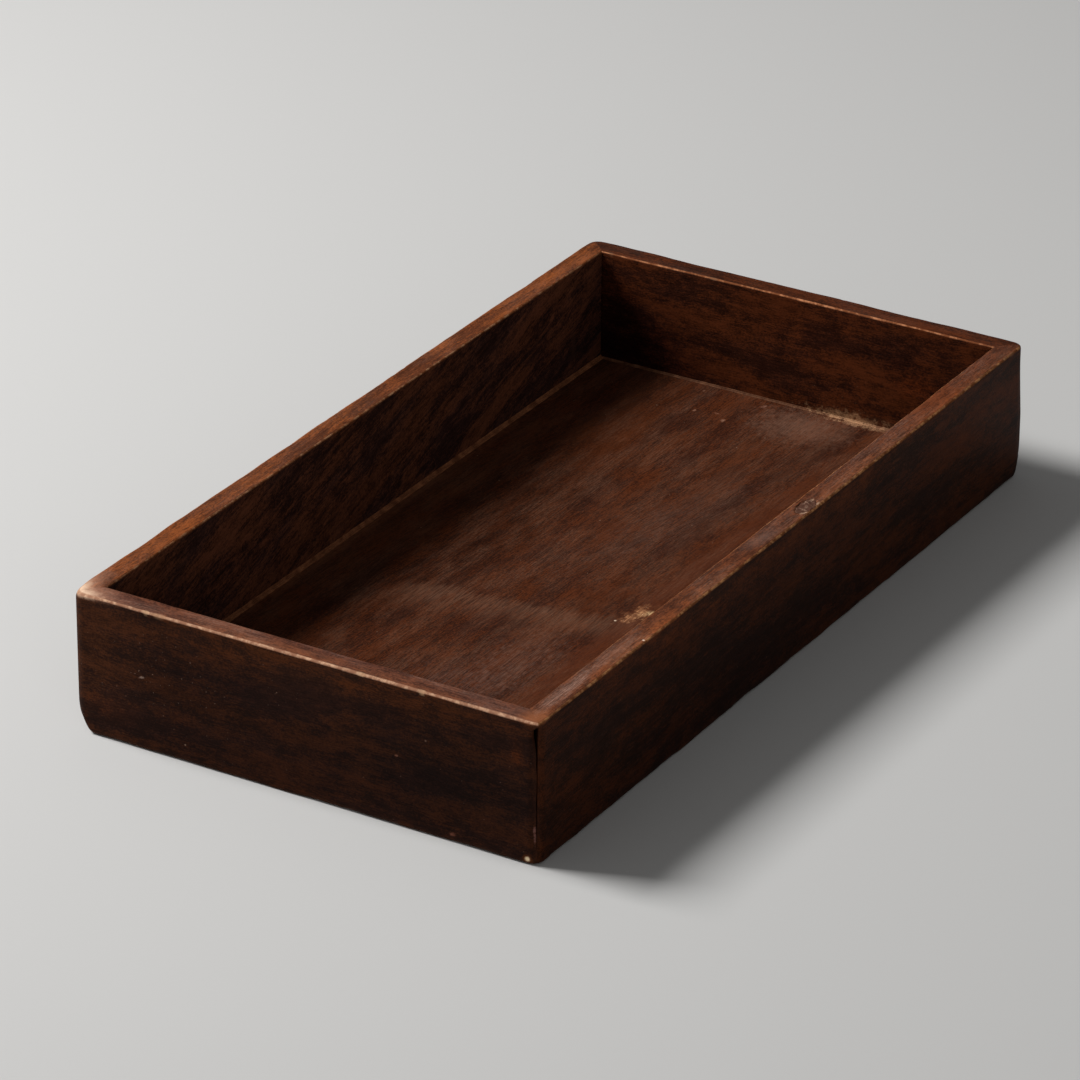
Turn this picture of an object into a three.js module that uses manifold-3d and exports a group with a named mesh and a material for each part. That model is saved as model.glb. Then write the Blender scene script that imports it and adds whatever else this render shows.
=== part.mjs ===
// An old stained wooden tray. Four mitred walls stand round a base panel that is let into their grooves,
// and a loose spline, glued across each mitre, keeps the corner together.
// Millimetres. +X runs along the tray, +Z is up, and the origin is the middle of the footprint.
import * as THREE from "three";
import { mergeVertices } from "three/addons/utils/BufferGeometryUtils.js";
import Module from "manifold-3d";

// Outside of the frame
const TRAY_LENGTH = 400;
const TRAY_WIDTH = 211;
const TRAY_HEIGHT = 61;
const WALL_THICKNESS = 10;
const CORNER_RADIUS = 5; // the upright outer corners, rounded by handling
const RIM_ROUND = 1.2; // both upper arrises of the rim
const FOOT_ROUND = 2; // the outer bottom arris
const GLUE_LINE = 0.3; // open width of a mitre

// How far each bottom corner is worn back from where its sharp tip would be
const FOOT_WEAR = { near_right: 3, far_right: 6, far_left: 3.5, near_left: 6 };
const FOOT_WEAR_RISE = 1.5; // height of that wear for each millimetre of its reach

// Base panel and the groove that holds it
const PANEL_THICKNESS = 6;
const PANEL_LIFT = 4; // height of the panel's underside above the table
const PANEL_EASE = 0.5; // rounding of the panel's own edges
const GROOVE_DEPTH = 5;
const GROOVE_PLAY = 0.3; // above the panel, so that the board can move
const PANEL_EDGE_PLAY = 0.5; // between the panel's edge and the bottom of the groove

// Loose splines, hidden inside the mitres
const SPLINE_THICKNESS = 2.5;
const SPLINE_WIDTH = 9; // across the mitre, half of it in each wall
const SPLINE_FROM_HEEL = 5; // from the inner corner to the middle of the spline, along the mitre
const SPLINE_TOP_COVER = 12; // wood left between the slot and the rim
const SPLINE_FOOT_COVER = 4; // wood left between the slot and the panel's groove
const SPLINE_PLAY = 0.15; // clearance on every side of a spline in its slot

// Old glue and wax in the angle between the walls and the panel
const BEAD_LEG = 2.6;
const BEAD_LIP = 0.3; // thickness of the bead where it runs out
const BEAD_ROUND = BEAD_LEG - BEAD_LIP;

// A chipped spot on the rim of the right wall, made good with filler
const FILLER_LENGTH = 13;
const FILLER_WIDTH = 5.6;
const FILLER_DEPTH = 3;
const FILLER_ALONG = 14; // from the middle of the wall towards the far end
const FILLER_FROM_FACE = 4.3; // from the wall's outer face to the middle of the filler
const FILLER_PLAY = 0.1;
const FILLER_SINK = 0.15; // how far the filler has shrunk below the rim

// Fineness of the curves
const ARC_STEPS = 8;
const ROUND_STEPS = 5;
const OVERCUT = 1; // how far a cutter runs past what it cuts

const GROOVE_TOP = PANEL_LIFT + PANEL_THICKNESS + GROOVE_PLAY;
const PANEL_TOP = PANEL_LIFT + PANEL_THICKNESS;
const SLOT_FOOT = GROOVE_TOP + SPLINE_FOOT_COVER;
const SLOT_HEIGHT = TRAY_HEIGHT - SPLINE_TOP_COVER - SLOT_FOOT;

const X = new THREE.Vector3(1, 0, 0);
const Y = new THREE.Vector3(0, 1, 0);
const Z = new THREE.Vector3(0, 0, 1);

const wasm = await Module();
wasm.setup();

const stainedWood = new THREE.MeshStandardMaterial({ color: 0x3b2115, roughness: 0.55, metalness: 0 });
const panelWood = new THREE.MeshStandardMaterial({ color: 0x4a2917, roughness: 0.6, metalness: 0 });
const splineWood = new THREE.MeshStandardMaterial({ color: 0x9c7248, roughness: 0.75, metalness: 0 });
const oldGlue = new THREE.MeshStandardMaterial({ color: 0x7d5a3c, roughness: 0.7, metalness: 0 });
const woodFiller = new THREE.MeshStandardMaterial({ color: 0x9b8b7c, roughness: 0.85, metalness: 0 });

// A closed geometry as a solid that can be cut and joined.
function solidOf(geometry) {
  const bare = geometry.clone();
  bare.deleteAttribute("normal");
  bare.deleteAttribute("uv");
  const merged = mergeVertices(bare, 1e-4);
  return new wasm.Manifold(
    new wasm.Mesh({
      numProp: 3,
      vertProperties: new Float32Array(merged.attributes.position.array),
      triVerts: new Uint32Array(merged.index.array),
    }),
  );
}

// A solid as a named mesh with flat-shaded faces.
function meshOf(name, solid, material) {
  const cut = solid.getMesh();
  const indexed = new THREE.BufferGeometry();
  indexed.setAttribute("position", new THREE.BufferAttribute(cut.vertProperties, 3));
  indexed.setIndex(new THREE.BufferAttribute(cut.triVerts, 1));
  const geometry = indexed.toNonIndexed();
  geometry.computeVertexNormals();
  const mesh = new THREE.Mesh(geometry, material);
  mesh.name = name;
  return mesh;
}

// An outline in the plane across a wall, drawn as (inwards, up), run along the wall for the given length.
function runAlong(outline, length) {
  const geometry = new THREE.ExtrudeGeometry(outline, {
    depth: length,
    bevelEnabled: false,
    curveSegments: ROUND_STEPS,
  });
  geometry.translate(0, 0, -length / 2);
  return geometry.applyMatrix4(new THREE.Matrix4().makeBasis(Y, Z, X));
}

// A rectangle with round corners, centred on the origin.
function roundedRectangle(length, width, radius) {
  const [a, b] = [length / 2 - radius, width / 2 - radius];
  const outline = new THREE.Shape();
  outline.absarc(a, -b, radius, -Math.PI / 2, 0);
  outline.absarc(a, b, radius, 0, Math.PI / 2);
  outline.absarc(-a, b, radius, Math.PI / 2, Math.PI);
  outline.absarc(-a, -b, radius, Math.PI, 1.5 * Math.PI);
  return outline;
}

// An upright block with round corners, standing on z = 0, whose upper and lower arrises are rounded alike.
function easedBlock(length, width, height, cornerRadius, ease) {
  const geometry = new THREE.ExtrudeGeometry(roundedRectangle(length, width, cornerRadius), {
    depth: height - 2 * ease,
    bevelThickness: ease,
    bevelSize: ease,
    bevelOffset: -ease,
    bevelSegments: ROUND_STEPS,
    curveSegments: ARC_STEPS,
  });
  return geometry.translate(0, 0, ease);
}

// The tray's outer skin as a full block: the rim's rounding above and the foot's wider one below.
// It stands inwards of y = 0, which is the outer face of the wall that it shapes.
function outerBlock(length, across) {
  const height = TRAY_HEIGHT + FOOT_ROUND + OVERCUT;
  const foot = easedBlock(length, across, height, CORNER_RADIUS, FOOT_ROUND);
  const rim = easedBlock(length, across, height, CORNER_RADIUS, RIM_ROUND);
  rim.translate(0, 0, TRAY_HEIGHT - height);
  foot.translate(0, across / 2, 0);
  rim.translate(0, across / 2, 0);
  return solidOf(foot).intersect(solidOf(rim));
}

// The space between a wall's two mitre planes, less half a glue line at each, from its outer face inwards.
function betweenMitres(length, depth) {
  const endOf = (inwards) => length / 2 - inwards - GLUE_LINE * Math.SQRT1_2;
  const outline = new THREE.Shape([
    new THREE.Vector2(-endOf(-OVERCUT), -OVERCUT),
    new THREE.Vector2(endOf(-OVERCUT), -OVERCUT),
    new THREE.Vector2(endOf(depth), depth),
    new THREE.Vector2(-endOf(depth), depth),
  ]);
  const geometry = new THREE.ExtrudeGeometry(outline, { depth: TRAY_HEIGHT + 2 * OVERCUT, bevelEnabled: false });
  return solidOf(geometry.translate(0, 0, -OVERCUT));
}

// What is planed and grooved away on a wall's inner side: the face, the panel's groove and the rim's inner arris.
function innerWaste(length) {
  const face = WALL_THICKNESS;
  const waste = new THREE.Shape();
  waste.moveTo(face, -OVERCUT);
  waste.lineTo(face, PANEL_LIFT);
  waste.lineTo(face - GROOVE_DEPTH, PANEL_LIFT);
  waste.lineTo(face - GROOVE_DEPTH, GROOVE_TOP);
  waste.lineTo(face, GROOVE_TOP);
  waste.lineTo(face, TRAY_HEIGHT - RIM_ROUND);
  waste.absarc(face - RIM_ROUND, TRAY_HEIGHT - RIM_ROUND, RIM_ROUND, 0, Math.PI / 2);
  waste.lineTo(face - RIM_ROUND, TRAY_HEIGHT + OVERCUT);
  waste.lineTo(2 * face, TRAY_HEIGHT + OVERCUT);
  waste.lineTo(2 * face, -OVERCUT);
  waste.closePath();
  return solidOf(runAlong(waste, length + 2 * OVERCUT));
}

// What wear has taken off one bottom corner, rounded in the upright plane through the corner's diagonal.
function footWaste(reach, cornerX, outwards) {
  const rise = reach * FOOT_WEAR_RISE;
  const waste = new THREE.Shape();
  waste.moveTo(0, -OVERCUT);
  waste.lineTo(0, 0);
  waste.absellipse(0, rise, reach, rise, -Math.PI / 2, 0);
  waste.lineTo(reach + OVERCUT, rise);
  waste.lineTo(reach + OVERCUT, -OVERCUT);
  waste.closePath();
  const breadth = 4 * reach;
  const geometry = new THREE.ExtrudeGeometry(waste, {
    depth: breadth,
    bevelEnabled: false,
    curveSegments: ARC_STEPS,
  });
  geometry.translate(-reach, 0, -breadth / 2);
  geometry.applyMatrix4(new THREE.Matrix4().makeBasis(X, Z, Y.clone().negate()));
  geometry.rotateZ(outwards);
  return solidOf(geometry.translate(cornerX, 0, 0));
}

// A spline, or with play added the slot that takes it. Its foot is at z = 0 and its thickness lies along x.
function splineBlock(play) {
  const height = SLOT_HEIGHT - 2 * SPLINE_PLAY + 2 * play;
  const block = new THREE.BoxGeometry(SPLINE_THICKNESS + 2 * play, SPLINE_WIDTH + 2 * play, height);
  return block.translate(0, 0, SLOT_FOOT + SLOT_HEIGHT / 2);
}

// Distance of a spline's middle from each of the two outer faces that meet at its corner.
const SPLINE_INSET = WALL_THICKNESS - SPLINE_FROM_HEEL * Math.SQRT1_2;

// The half slots that a wall holds at its two ends.
function splineSlots(length) {
  const slots = [-1, 1].map((end) => {
    const slot = splineBlock(SPLINE_PLAY).rotateZ((-end * Math.PI) / 4);
    return solidOf(slot.translate(end * (length / 2 - SPLINE_INSET), SPLINE_INSET, 0));
  });
  return slots[0].add(slots[1]);
}

// The filler's outline seen from above, or with play added the pocket's.
function fillerBlock(play, depth) {
  const outline = new THREE.Shape();
  outline.absellipse(0, 0, FILLER_LENGTH / 2 + play, FILLER_WIDTH / 2 + play, 0, 2 * Math.PI);
  return new THREE.ExtrudeGeometry(outline, { depth, bevelEnabled: false, curveSegments: 3 * ARC_STEPS });
}

function fillerPocket() {
  const pocket = fillerBlock(FILLER_PLAY, FILLER_DEPTH + OVERCUT);
  return solidOf(pocket.translate(FILLER_ALONG, FILLER_FROM_FACE, TRAY_HEIGHT - FILLER_DEPTH));
}

// One mitred wall, lying along x with its outer face on y = 0.
function wallSolid(length, across, startCorner, endCorner) {
  const board = outerBlock(length, across).intersect(betweenMitres(length, 2 * WALL_THICKNESS));
  return board
    .subtract(innerWaste(length))
    .subtract(splineSlots(length))
    .subtract(footWaste(FOOT_WEAR[startCorner], -length / 2, -0.75 * Math.PI))
    .subtract(footWaste(FOOT_WEAR[endCorner], length / 2, -0.25 * Math.PI));
}

// The bead of old glue along one wall's foot, with its cove towards the inside of the tray.
function beadSolid(length) {
  const [back, seat] = [WALL_THICKNESS, PANEL_TOP];
  const bead = new THREE.Shape();
  bead.moveTo(back, seat);
  bead.lineTo(back + BEAD_LEG, seat);
  bead.lineTo(back + BEAD_LEG, seat + BEAD_LIP);
  bead.absarc(back + BEAD_LEG, seat + BEAD_LEG, BEAD_ROUND, -Math.PI / 2, -Math.PI, true);
  bead.lineTo(back, seat + BEAD_LEG);
  bead.closePath();
  return solidOf(runAlong(bead, length)).intersect(betweenMitres(length, WALL_THICKNESS + 2 * BEAD_LEG));
}

const panelLength = TRAY_LENGTH - 2 * (WALL_THICKNESS - GROOVE_DEPTH + PANEL_EDGE_PLAY);
const panelWidth = TRAY_WIDTH - 2 * (WALL_THICKNESS - GROOVE_DEPTH + PANEL_EDGE_PLAY);

function makePanel() {
  const board = easedBlock(panelLength, panelWidth, PANEL_THICKNESS, 2 * PANEL_EASE, PANEL_EASE);
  const panel = meshOf("base_panel", solidOf(board), panelWood);
  panel.position.z = PANEL_LIFT;
  return panel;
}

function makeSpline(name, towardsFar, towardsLeft) {
  const spline = meshOf(name, solidOf(splineBlock(0)), splineWood);
  spline.position.x = towardsFar * (TRAY_LENGTH / 2 - SPLINE_INSET);
  spline.position.y = towardsLeft * (TRAY_WIDTH / 2 - SPLINE_INSET);
  spline.rotation.z = (towardsFar * towardsLeft * Math.PI) / 4;
  return spline;
}

// The four sides in order round the tray. Each stands at the middle of its outer face, turned to face out.
const SIDES = [
  { side: "right_side", at: [0, -TRAY_WIDTH / 2], turn: 0, corners: ["near_right", "far_right"] },
  { side: "far_end", at: [TRAY_LENGTH / 2, 0], turn: 1, corners: ["far_right", "far_left"] },
  { side: "left_side", at: [0, TRAY_WIDTH / 2], turn: 2, corners: ["far_left", "near_left"] },
  { side: "near_end", at: [-TRAY_LENGTH / 2, 0], turn: 3, corners: ["near_left", "near_right"] },
];

// One side of the tray: its wall, its glue bead and, on the right side, the filler in the rim.
function makeSide({ side, at, turn, corners }) {
  const group = new THREE.Group();
  const isLong = turn % 2 === 0;
  const [length, across] = isLong ? [TRAY_LENGTH, TRAY_WIDTH] : [TRAY_WIDTH, TRAY_LENGTH];
  let wall = wallSolid(length, across, ...corners);
  if (side === "right_side") {
    wall = wall.subtract(fillerPocket());
    const filler = meshOf("rim_filler", solidOf(fillerBlock(0, FILLER_DEPTH - FILLER_SINK)), woodFiller);
    filler.position.set(FILLER_ALONG, FILLER_FROM_FACE, TRAY_HEIGHT - FILLER_DEPTH);
    group.add(filler);
  }
  group.add(meshOf(`${side}_wall`, wall, stainedWood));
  group.add(meshOf(`${side}_glue_bead`, beadSolid(length), oldGlue));
  group.position.set(at[0], at[1], 0);
  group.rotation.z = (turn * Math.PI) / 2;
  return group;
}

const tray = new THREE.Group();
tray.name = "tray";
for (const side of SIDES) tray.add(makeSide(side));
tray.add(makePanel());
tray.add(makeSpline("near_right_spline", -1, -1));
tray.add(makeSpline("far_right_spline", 1, -1));
tray.add(makeSpline("far_left_spline", 1, 1));
tray.add(makeSpline("near_left_spline", -1, 1));

export default tray;
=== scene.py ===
"""Looks of an old stained wooden tray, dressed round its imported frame.

Four mitred boards, the base panel, the beads of old glue and the filler in the rim are modelled with
the wear of long use, and get procedural finishes. Shapes are in metres, with their sizes written in
millimetres times MM, and the places and sizes in the finishes are in plain millimetres. +X runs along
the tray to its far end, +Y across it to its left side, +Z is up.
"""
import logging
import math
from dataclasses import dataclass
from enum import Enum
from typing import Callable, Optional, Sequence, Union

import bpy
import numpy as np
from mathutils import Matrix, Vector, noise


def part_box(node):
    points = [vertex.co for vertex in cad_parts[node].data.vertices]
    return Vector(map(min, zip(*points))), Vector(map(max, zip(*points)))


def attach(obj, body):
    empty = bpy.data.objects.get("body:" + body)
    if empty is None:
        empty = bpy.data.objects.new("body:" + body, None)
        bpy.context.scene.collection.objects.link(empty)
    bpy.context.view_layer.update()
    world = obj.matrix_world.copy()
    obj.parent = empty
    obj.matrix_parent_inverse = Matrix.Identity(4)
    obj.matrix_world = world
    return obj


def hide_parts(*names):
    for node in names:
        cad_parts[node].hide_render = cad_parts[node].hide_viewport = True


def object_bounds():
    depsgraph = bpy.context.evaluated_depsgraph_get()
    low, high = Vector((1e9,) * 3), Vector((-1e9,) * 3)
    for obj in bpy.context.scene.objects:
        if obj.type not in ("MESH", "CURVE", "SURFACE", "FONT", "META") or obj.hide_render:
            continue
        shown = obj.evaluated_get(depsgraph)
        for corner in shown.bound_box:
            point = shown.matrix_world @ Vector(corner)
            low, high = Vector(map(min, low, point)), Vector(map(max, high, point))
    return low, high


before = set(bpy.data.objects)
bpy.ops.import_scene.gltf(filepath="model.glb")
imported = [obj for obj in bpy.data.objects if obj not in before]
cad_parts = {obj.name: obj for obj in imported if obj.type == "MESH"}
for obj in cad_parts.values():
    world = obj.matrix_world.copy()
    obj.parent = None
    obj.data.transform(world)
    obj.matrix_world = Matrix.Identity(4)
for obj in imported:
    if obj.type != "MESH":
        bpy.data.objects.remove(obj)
CAD_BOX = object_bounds()

MM = 0.001
log = logging.getLogger("tray")

# How far a rounding of radius 1 stands back from the sharp arris that it rounds.
TIP = math.sqrt(2) - 1
# What brings Blender's noise to about -1 to 1.
NOISE_GAIN = 1.8
# About a whole turn, in radians.
WHOLE_TURN = 6.28
# Where the walls' inner faces and the rim are in the finishes, in millimetres.
INNER_X, INNER_Y, RIM_Z = 190.0, 95.5, 61.0
# How finely fibres and hairs change along and across the grain, per millimetre.
FIBRES_ALONG, FIBRES_ACROSS = 0.1, 2.2
# What a mark on the near end's face turns about.
X_AXIS = (1.0, 0.0, 0.0)

Socket = bpy.types.NodeSocket
Value = Union[float, int, Sequence[float], Socket]
Triple = tuple[float, float, float]
Tone = tuple[int, int, int]


class Corner(Enum):
    """The four corners in order round the tray, each with its direction from the middle."""

    NEAR_RIGHT = (-1, -1)
    FAR_RIGHT = (1, -1)
    FAR_LEFT = (1, 1)
    NEAR_LEFT = (-1, 1)


class Side(Enum):
    """The four sides in order round the tray, each with the quarter turns that its board is turned."""

    RIGHT_SIDE = 0
    FAR_END = 1
    LEFT_SIDE = 2
    NEAR_END = 3

    @property
    def label(self) -> str:
        """The side's name as its nodes begin with it."""
        return self.name.lower()

    @property
    def turn(self) -> float:
        """The angle that the side's board is turned through."""
        return self.value * math.pi / 2

    @property
    def is_long(self) -> bool:
        """Whether the side runs along the tray."""
        return self.value % 2 == 0

    @property
    def corners(self) -> tuple[Corner, Corner]:
        """The corners at the start and the end of the side's board."""
        order = list(Corner)
        return order[self.value], order[(self.value + 1) % 4]


@dataclass(frozen=True)
class TraySizes:
    """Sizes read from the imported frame, in metres."""

    length: float
    width: float
    height: float
    wall: float
    panel_foot: float
    panel_top: float
    groove: float

    @classmethod
    def from_frame(cls) -> "TraySizes":
        """Measures the CAD nodes.

        Returns:
            The tray's sizes.
        """
        low, high = CAD_BOX
        wall_low, wall_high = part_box("right_side_wall")
        panel_low, panel_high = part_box("base_panel")
        wall = wall_high.y - wall_low.y
        return cls(
            length=high.x - low.x,
            width=high.y - low.y,
            height=high.z - low.z,
            wall=wall,
            panel_foot=panel_low.z,
            panel_top=panel_high.z,
            groove=wall - (high.x - panel_high.x),
        )

    def run(self, side: Side) -> float:
        """Length of a side's board."""
        return self.length if side.is_long else self.width

    def across(self, side: Side) -> float:
        """Distance between a side's outer face and the opposite one."""
        return self.width if side.is_long else self.length

    def place(self, side: Side, points: np.ndarray) -> np.ndarray:
        """Turns board coordinates into tray coordinates.

        Args:
            side: The side that the board stands on.
            points: Rows of (along, inwards, up), with the outer face at inwards = 0.

        Returns:
            Rows of (x, y, z) in the tray's frame.
        """
        cosine, sine = round(math.cos(side.turn)), round(math.sin(side.turn))
        along, inwards = points[:, 0], points[:, 1] - self.across(side) / 2
        return np.stack([cosine * along - sine * inwards, sine * along + cosine * inwards, points[:, 2]], 1)


def wander(positions: np.ndarray, pitch: float, seed: int, octaves: int = 2, fading: float = 1.8) -> np.ndarray:
    """Smooth noise along a line.

    Args:
        positions: Distances along the line, in metres.
        pitch: Distance over which the noise changes, in metres.
        seed: Which of the endless different lines to follow.
        octaves: How many finer layers are added.
        fading: How many times weaker each finer layer is.

    Returns:
        One value from about -1 to 1 for each position.
    """
    found = np.zeros(len(positions))
    for octave in range(octaves):
        scale = 2.0**octave / pitch
        row = [noise.noise(Vector((p * scale, seed * 7.31, octave * 3.7))) for p in positions]
        found += np.array(row) * NOISE_GAIN / fading**octave
    return found


def drift(points: np.ndarray, pitch: float, seed: int) -> np.ndarray:
    """Smooth noise in space, one value from about -1 to 1 for each point."""
    shift = Vector((seed * 5.17, seed * 3.31, seed * 1.93))
    return np.array([noise.noise(Vector(p) / pitch + shift) for p in points]) * NOISE_GAIN


def eased_steps(count: int, evenness: float = 0.35) -> np.ndarray:
    """Steps from 0 to 1 that lie closer together near both ends."""
    even = np.linspace(0, 1, count)
    return evenness * even + (1 - evenness) * (0.5 - 0.5 * np.cos(math.pi * even))


def from_edge(points: np.ndarray, plan: np.ndarray, up: float, radius: np.ndarray) -> np.ndarray:
    """Distance of each section point from the middle of a rounded arris.

    Args:
        points: Stations by points by (along, inwards, up).
        plan: The sharp arris in plan at each station.
        up: The sharp arris's height.
        radius: The arris's rounding at each station.

    Returns:
        One distance for each point, in millimetres.
    """
    apart = np.concatenate([points[..., :2] - plan[:, None, :], points[..., 2:] - up], -1)
    return np.clip(np.sqrt((apart**2).sum(-1)) - TIP * radius[:, None], 0, None) / MM


def mesh_object(name: str, points: np.ndarray, faces: Sequence[Sequence[int]]) -> bpy.types.Object:
    """Makes a smooth-shaded mesh object whose place is in its mesh.

    Args:
        name: The piece's name.
        points: Its vertices, in the tray's frame.
        faces: Vertex numbers of each face, turning anticlockwise seen from outside.

    Returns:
        The linked object.
    """
    mesh = bpy.data.meshes.new(name)
    mesh.from_pydata([tuple(p) for p in points], [], [tuple(f) for f in faces])
    mesh.update()
    mesh.shade_smooth()
    piece = bpy.data.objects.new(name, mesh)
    bpy.context.scene.collection.objects.link(piece)
    return piece


def store(piece: bpy.types.Object, name: str, values: np.ndarray) -> None:
    """Writes one number for each vertex as a named attribute."""
    attribute = piece.data.attributes.new(name, "FLOAT", "POINT")
    attribute.data.foreach_set("value", values.astype(np.float32).ravel())


def dress(piece: bpy.types.Object, slot: str, *replaced: str) -> None:
    """Lets a finished piece ride with the tray in the place of CAD nodes, and logs it with the name of its finish."""
    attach(piece, "root")
    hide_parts(*replaced)
    log.info("%s: %d faces, finish %s", piece.name, len(piece.data.polygons), slot)


@dataclass(frozen=True)
class Bite:
    """A chip or dent: what a knock has taken out of a board, centred on its surface.

    The centre, the radii and the push are in the board's directions: along, inwards and up.
    """

    centre: Triple
    radii: Triple
    depth: float
    push: Triple = (0.0, 0.7, -0.7)
    bare: float = 1.0
    grit: float = 0.9 * MM

    def apply(self, points: np.ndarray, bare: np.ndarray) -> None:
        """Pushes in the points that the knock reached, and marks them as bare wood.

        Args:
            points: Vertices in board coordinates, which are changed.
            bare: How bare each vertex is, from 0 to 1, which is changed too.
        """
        away = (points - np.array(self.centre)) / np.array(self.radii)
        share = np.clip(1 - (away**2).sum(1), 0, 1)
        near = np.flatnonzero(share > 0)
        if len(near) == 0:
            return
        ragged = np.clip(1 + 0.45 * drift(points[near], self.grit, 11), 0.2, 1.8)
        push = np.array(self.push) / np.linalg.norm(self.push)
        points[near] += (self.depth * np.sqrt(share[near]) * ragged)[:, None] * push
        bare[near] = np.maximum(bare[near], self.bare * np.clip(2.5 * share[near] * ragged, 0, 1))


@dataclass(frozen=True)
class Arris:
    """A long edge of a board, rounded by hands and by being slid about.

    Its ripple changes over the pitch and dies out over the taper at each end, where the corner's own
    rounding begins.
    """

    radius: float
    seed: int
    unevenness: float = 0.3
    pitch: float = 26 * MM
    taper: float = 10 * MM
    corner_reach: float = 8 * MM

    def radii(self, along: np.ndarray, half: float, rounding: tuple[float, float]) -> np.ndarray:
        """The rounding's radius at each place along the board.

        Args:
            along: Distances along the board from its middle.
            half: Half of the board's length.
            rounding: How much more the arris is rounded at the board's start and at its end.

        Returns:
            One radius for each place.
        """
        from_end = half - np.abs(along)
        taper = np.clip(from_end / self.taper, 0, 1)
        share = 1 + self.unevenness * taper * wander(along, self.pitch, self.seed, 3)
        extra = np.where(along < 0, rounding[0], rounding[1]) * np.exp(-((from_end / self.corner_reach) ** 2))
        return self.radius * np.clip(share, 0.4, 2.0) + extra


@dataclass(frozen=True)
class CornerWear:
    """How far one corner is worn.

    The foot is worn back by one reach sideways and another upwards, and the rim is rounded further.
    The seam gives how wide the joint gapes at each height, and split the share of it that the board
    ending at the corner has lost. The fullness gives how far the corner is still square at each height.
    """

    foot: tuple[float, float]
    rim: float
    fullness: Sequence[tuple[float, float]]
    seam: Sequence[tuple[float, float]] = ((0.0, 0.0),)
    split: float = 0.5


@dataclass(frozen=True)
class Knocks:
    """Small dents strewn along a board's edges."""

    count: int
    seed: int
    depth: tuple[float, float] = (0.03 * MM, 0.14 * MM)
    length: tuple[float, float] = (0.8 * MM, 3.0 * MM)
    bare: tuple[float, float] = (0.02, 0.22)
    breadth: float = 1.0 * MM
    from_end: float = 4 * MM

    def bites(self, half: float, height: float, wall: float) -> list[Bite]:
        """Draws the dents.

        Args:
            half: Half of the board's length.
            height: The board's height.
            wall: The board's thickness.

        Returns:
            The dents on the outer rim, the inner rim and the outer foot.
        """
        random = np.random.default_rng(self.seed)
        edges = (
            ((0.0, height), (0.0, 0.7, -0.7)),
            ((wall, height), (0.0, -0.7, -0.7)),
            ((0.0, 0.0), (0.0, 0.7, 0.7)),
        )
        found = []
        for _ in range(self.count):
            (inwards, up), push = edges[random.choice(3, p=(0.5, 0.25, 0.25))]
            long, deep = random.uniform(*self.length), random.uniform(*self.depth)
            centre = (random.uniform(self.from_end - half, half - self.from_end), inwards, up)
            found.append(Bite(centre, (long, self.breadth, self.breadth), deep, push, random.uniform(*self.bare)))
        return found


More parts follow.
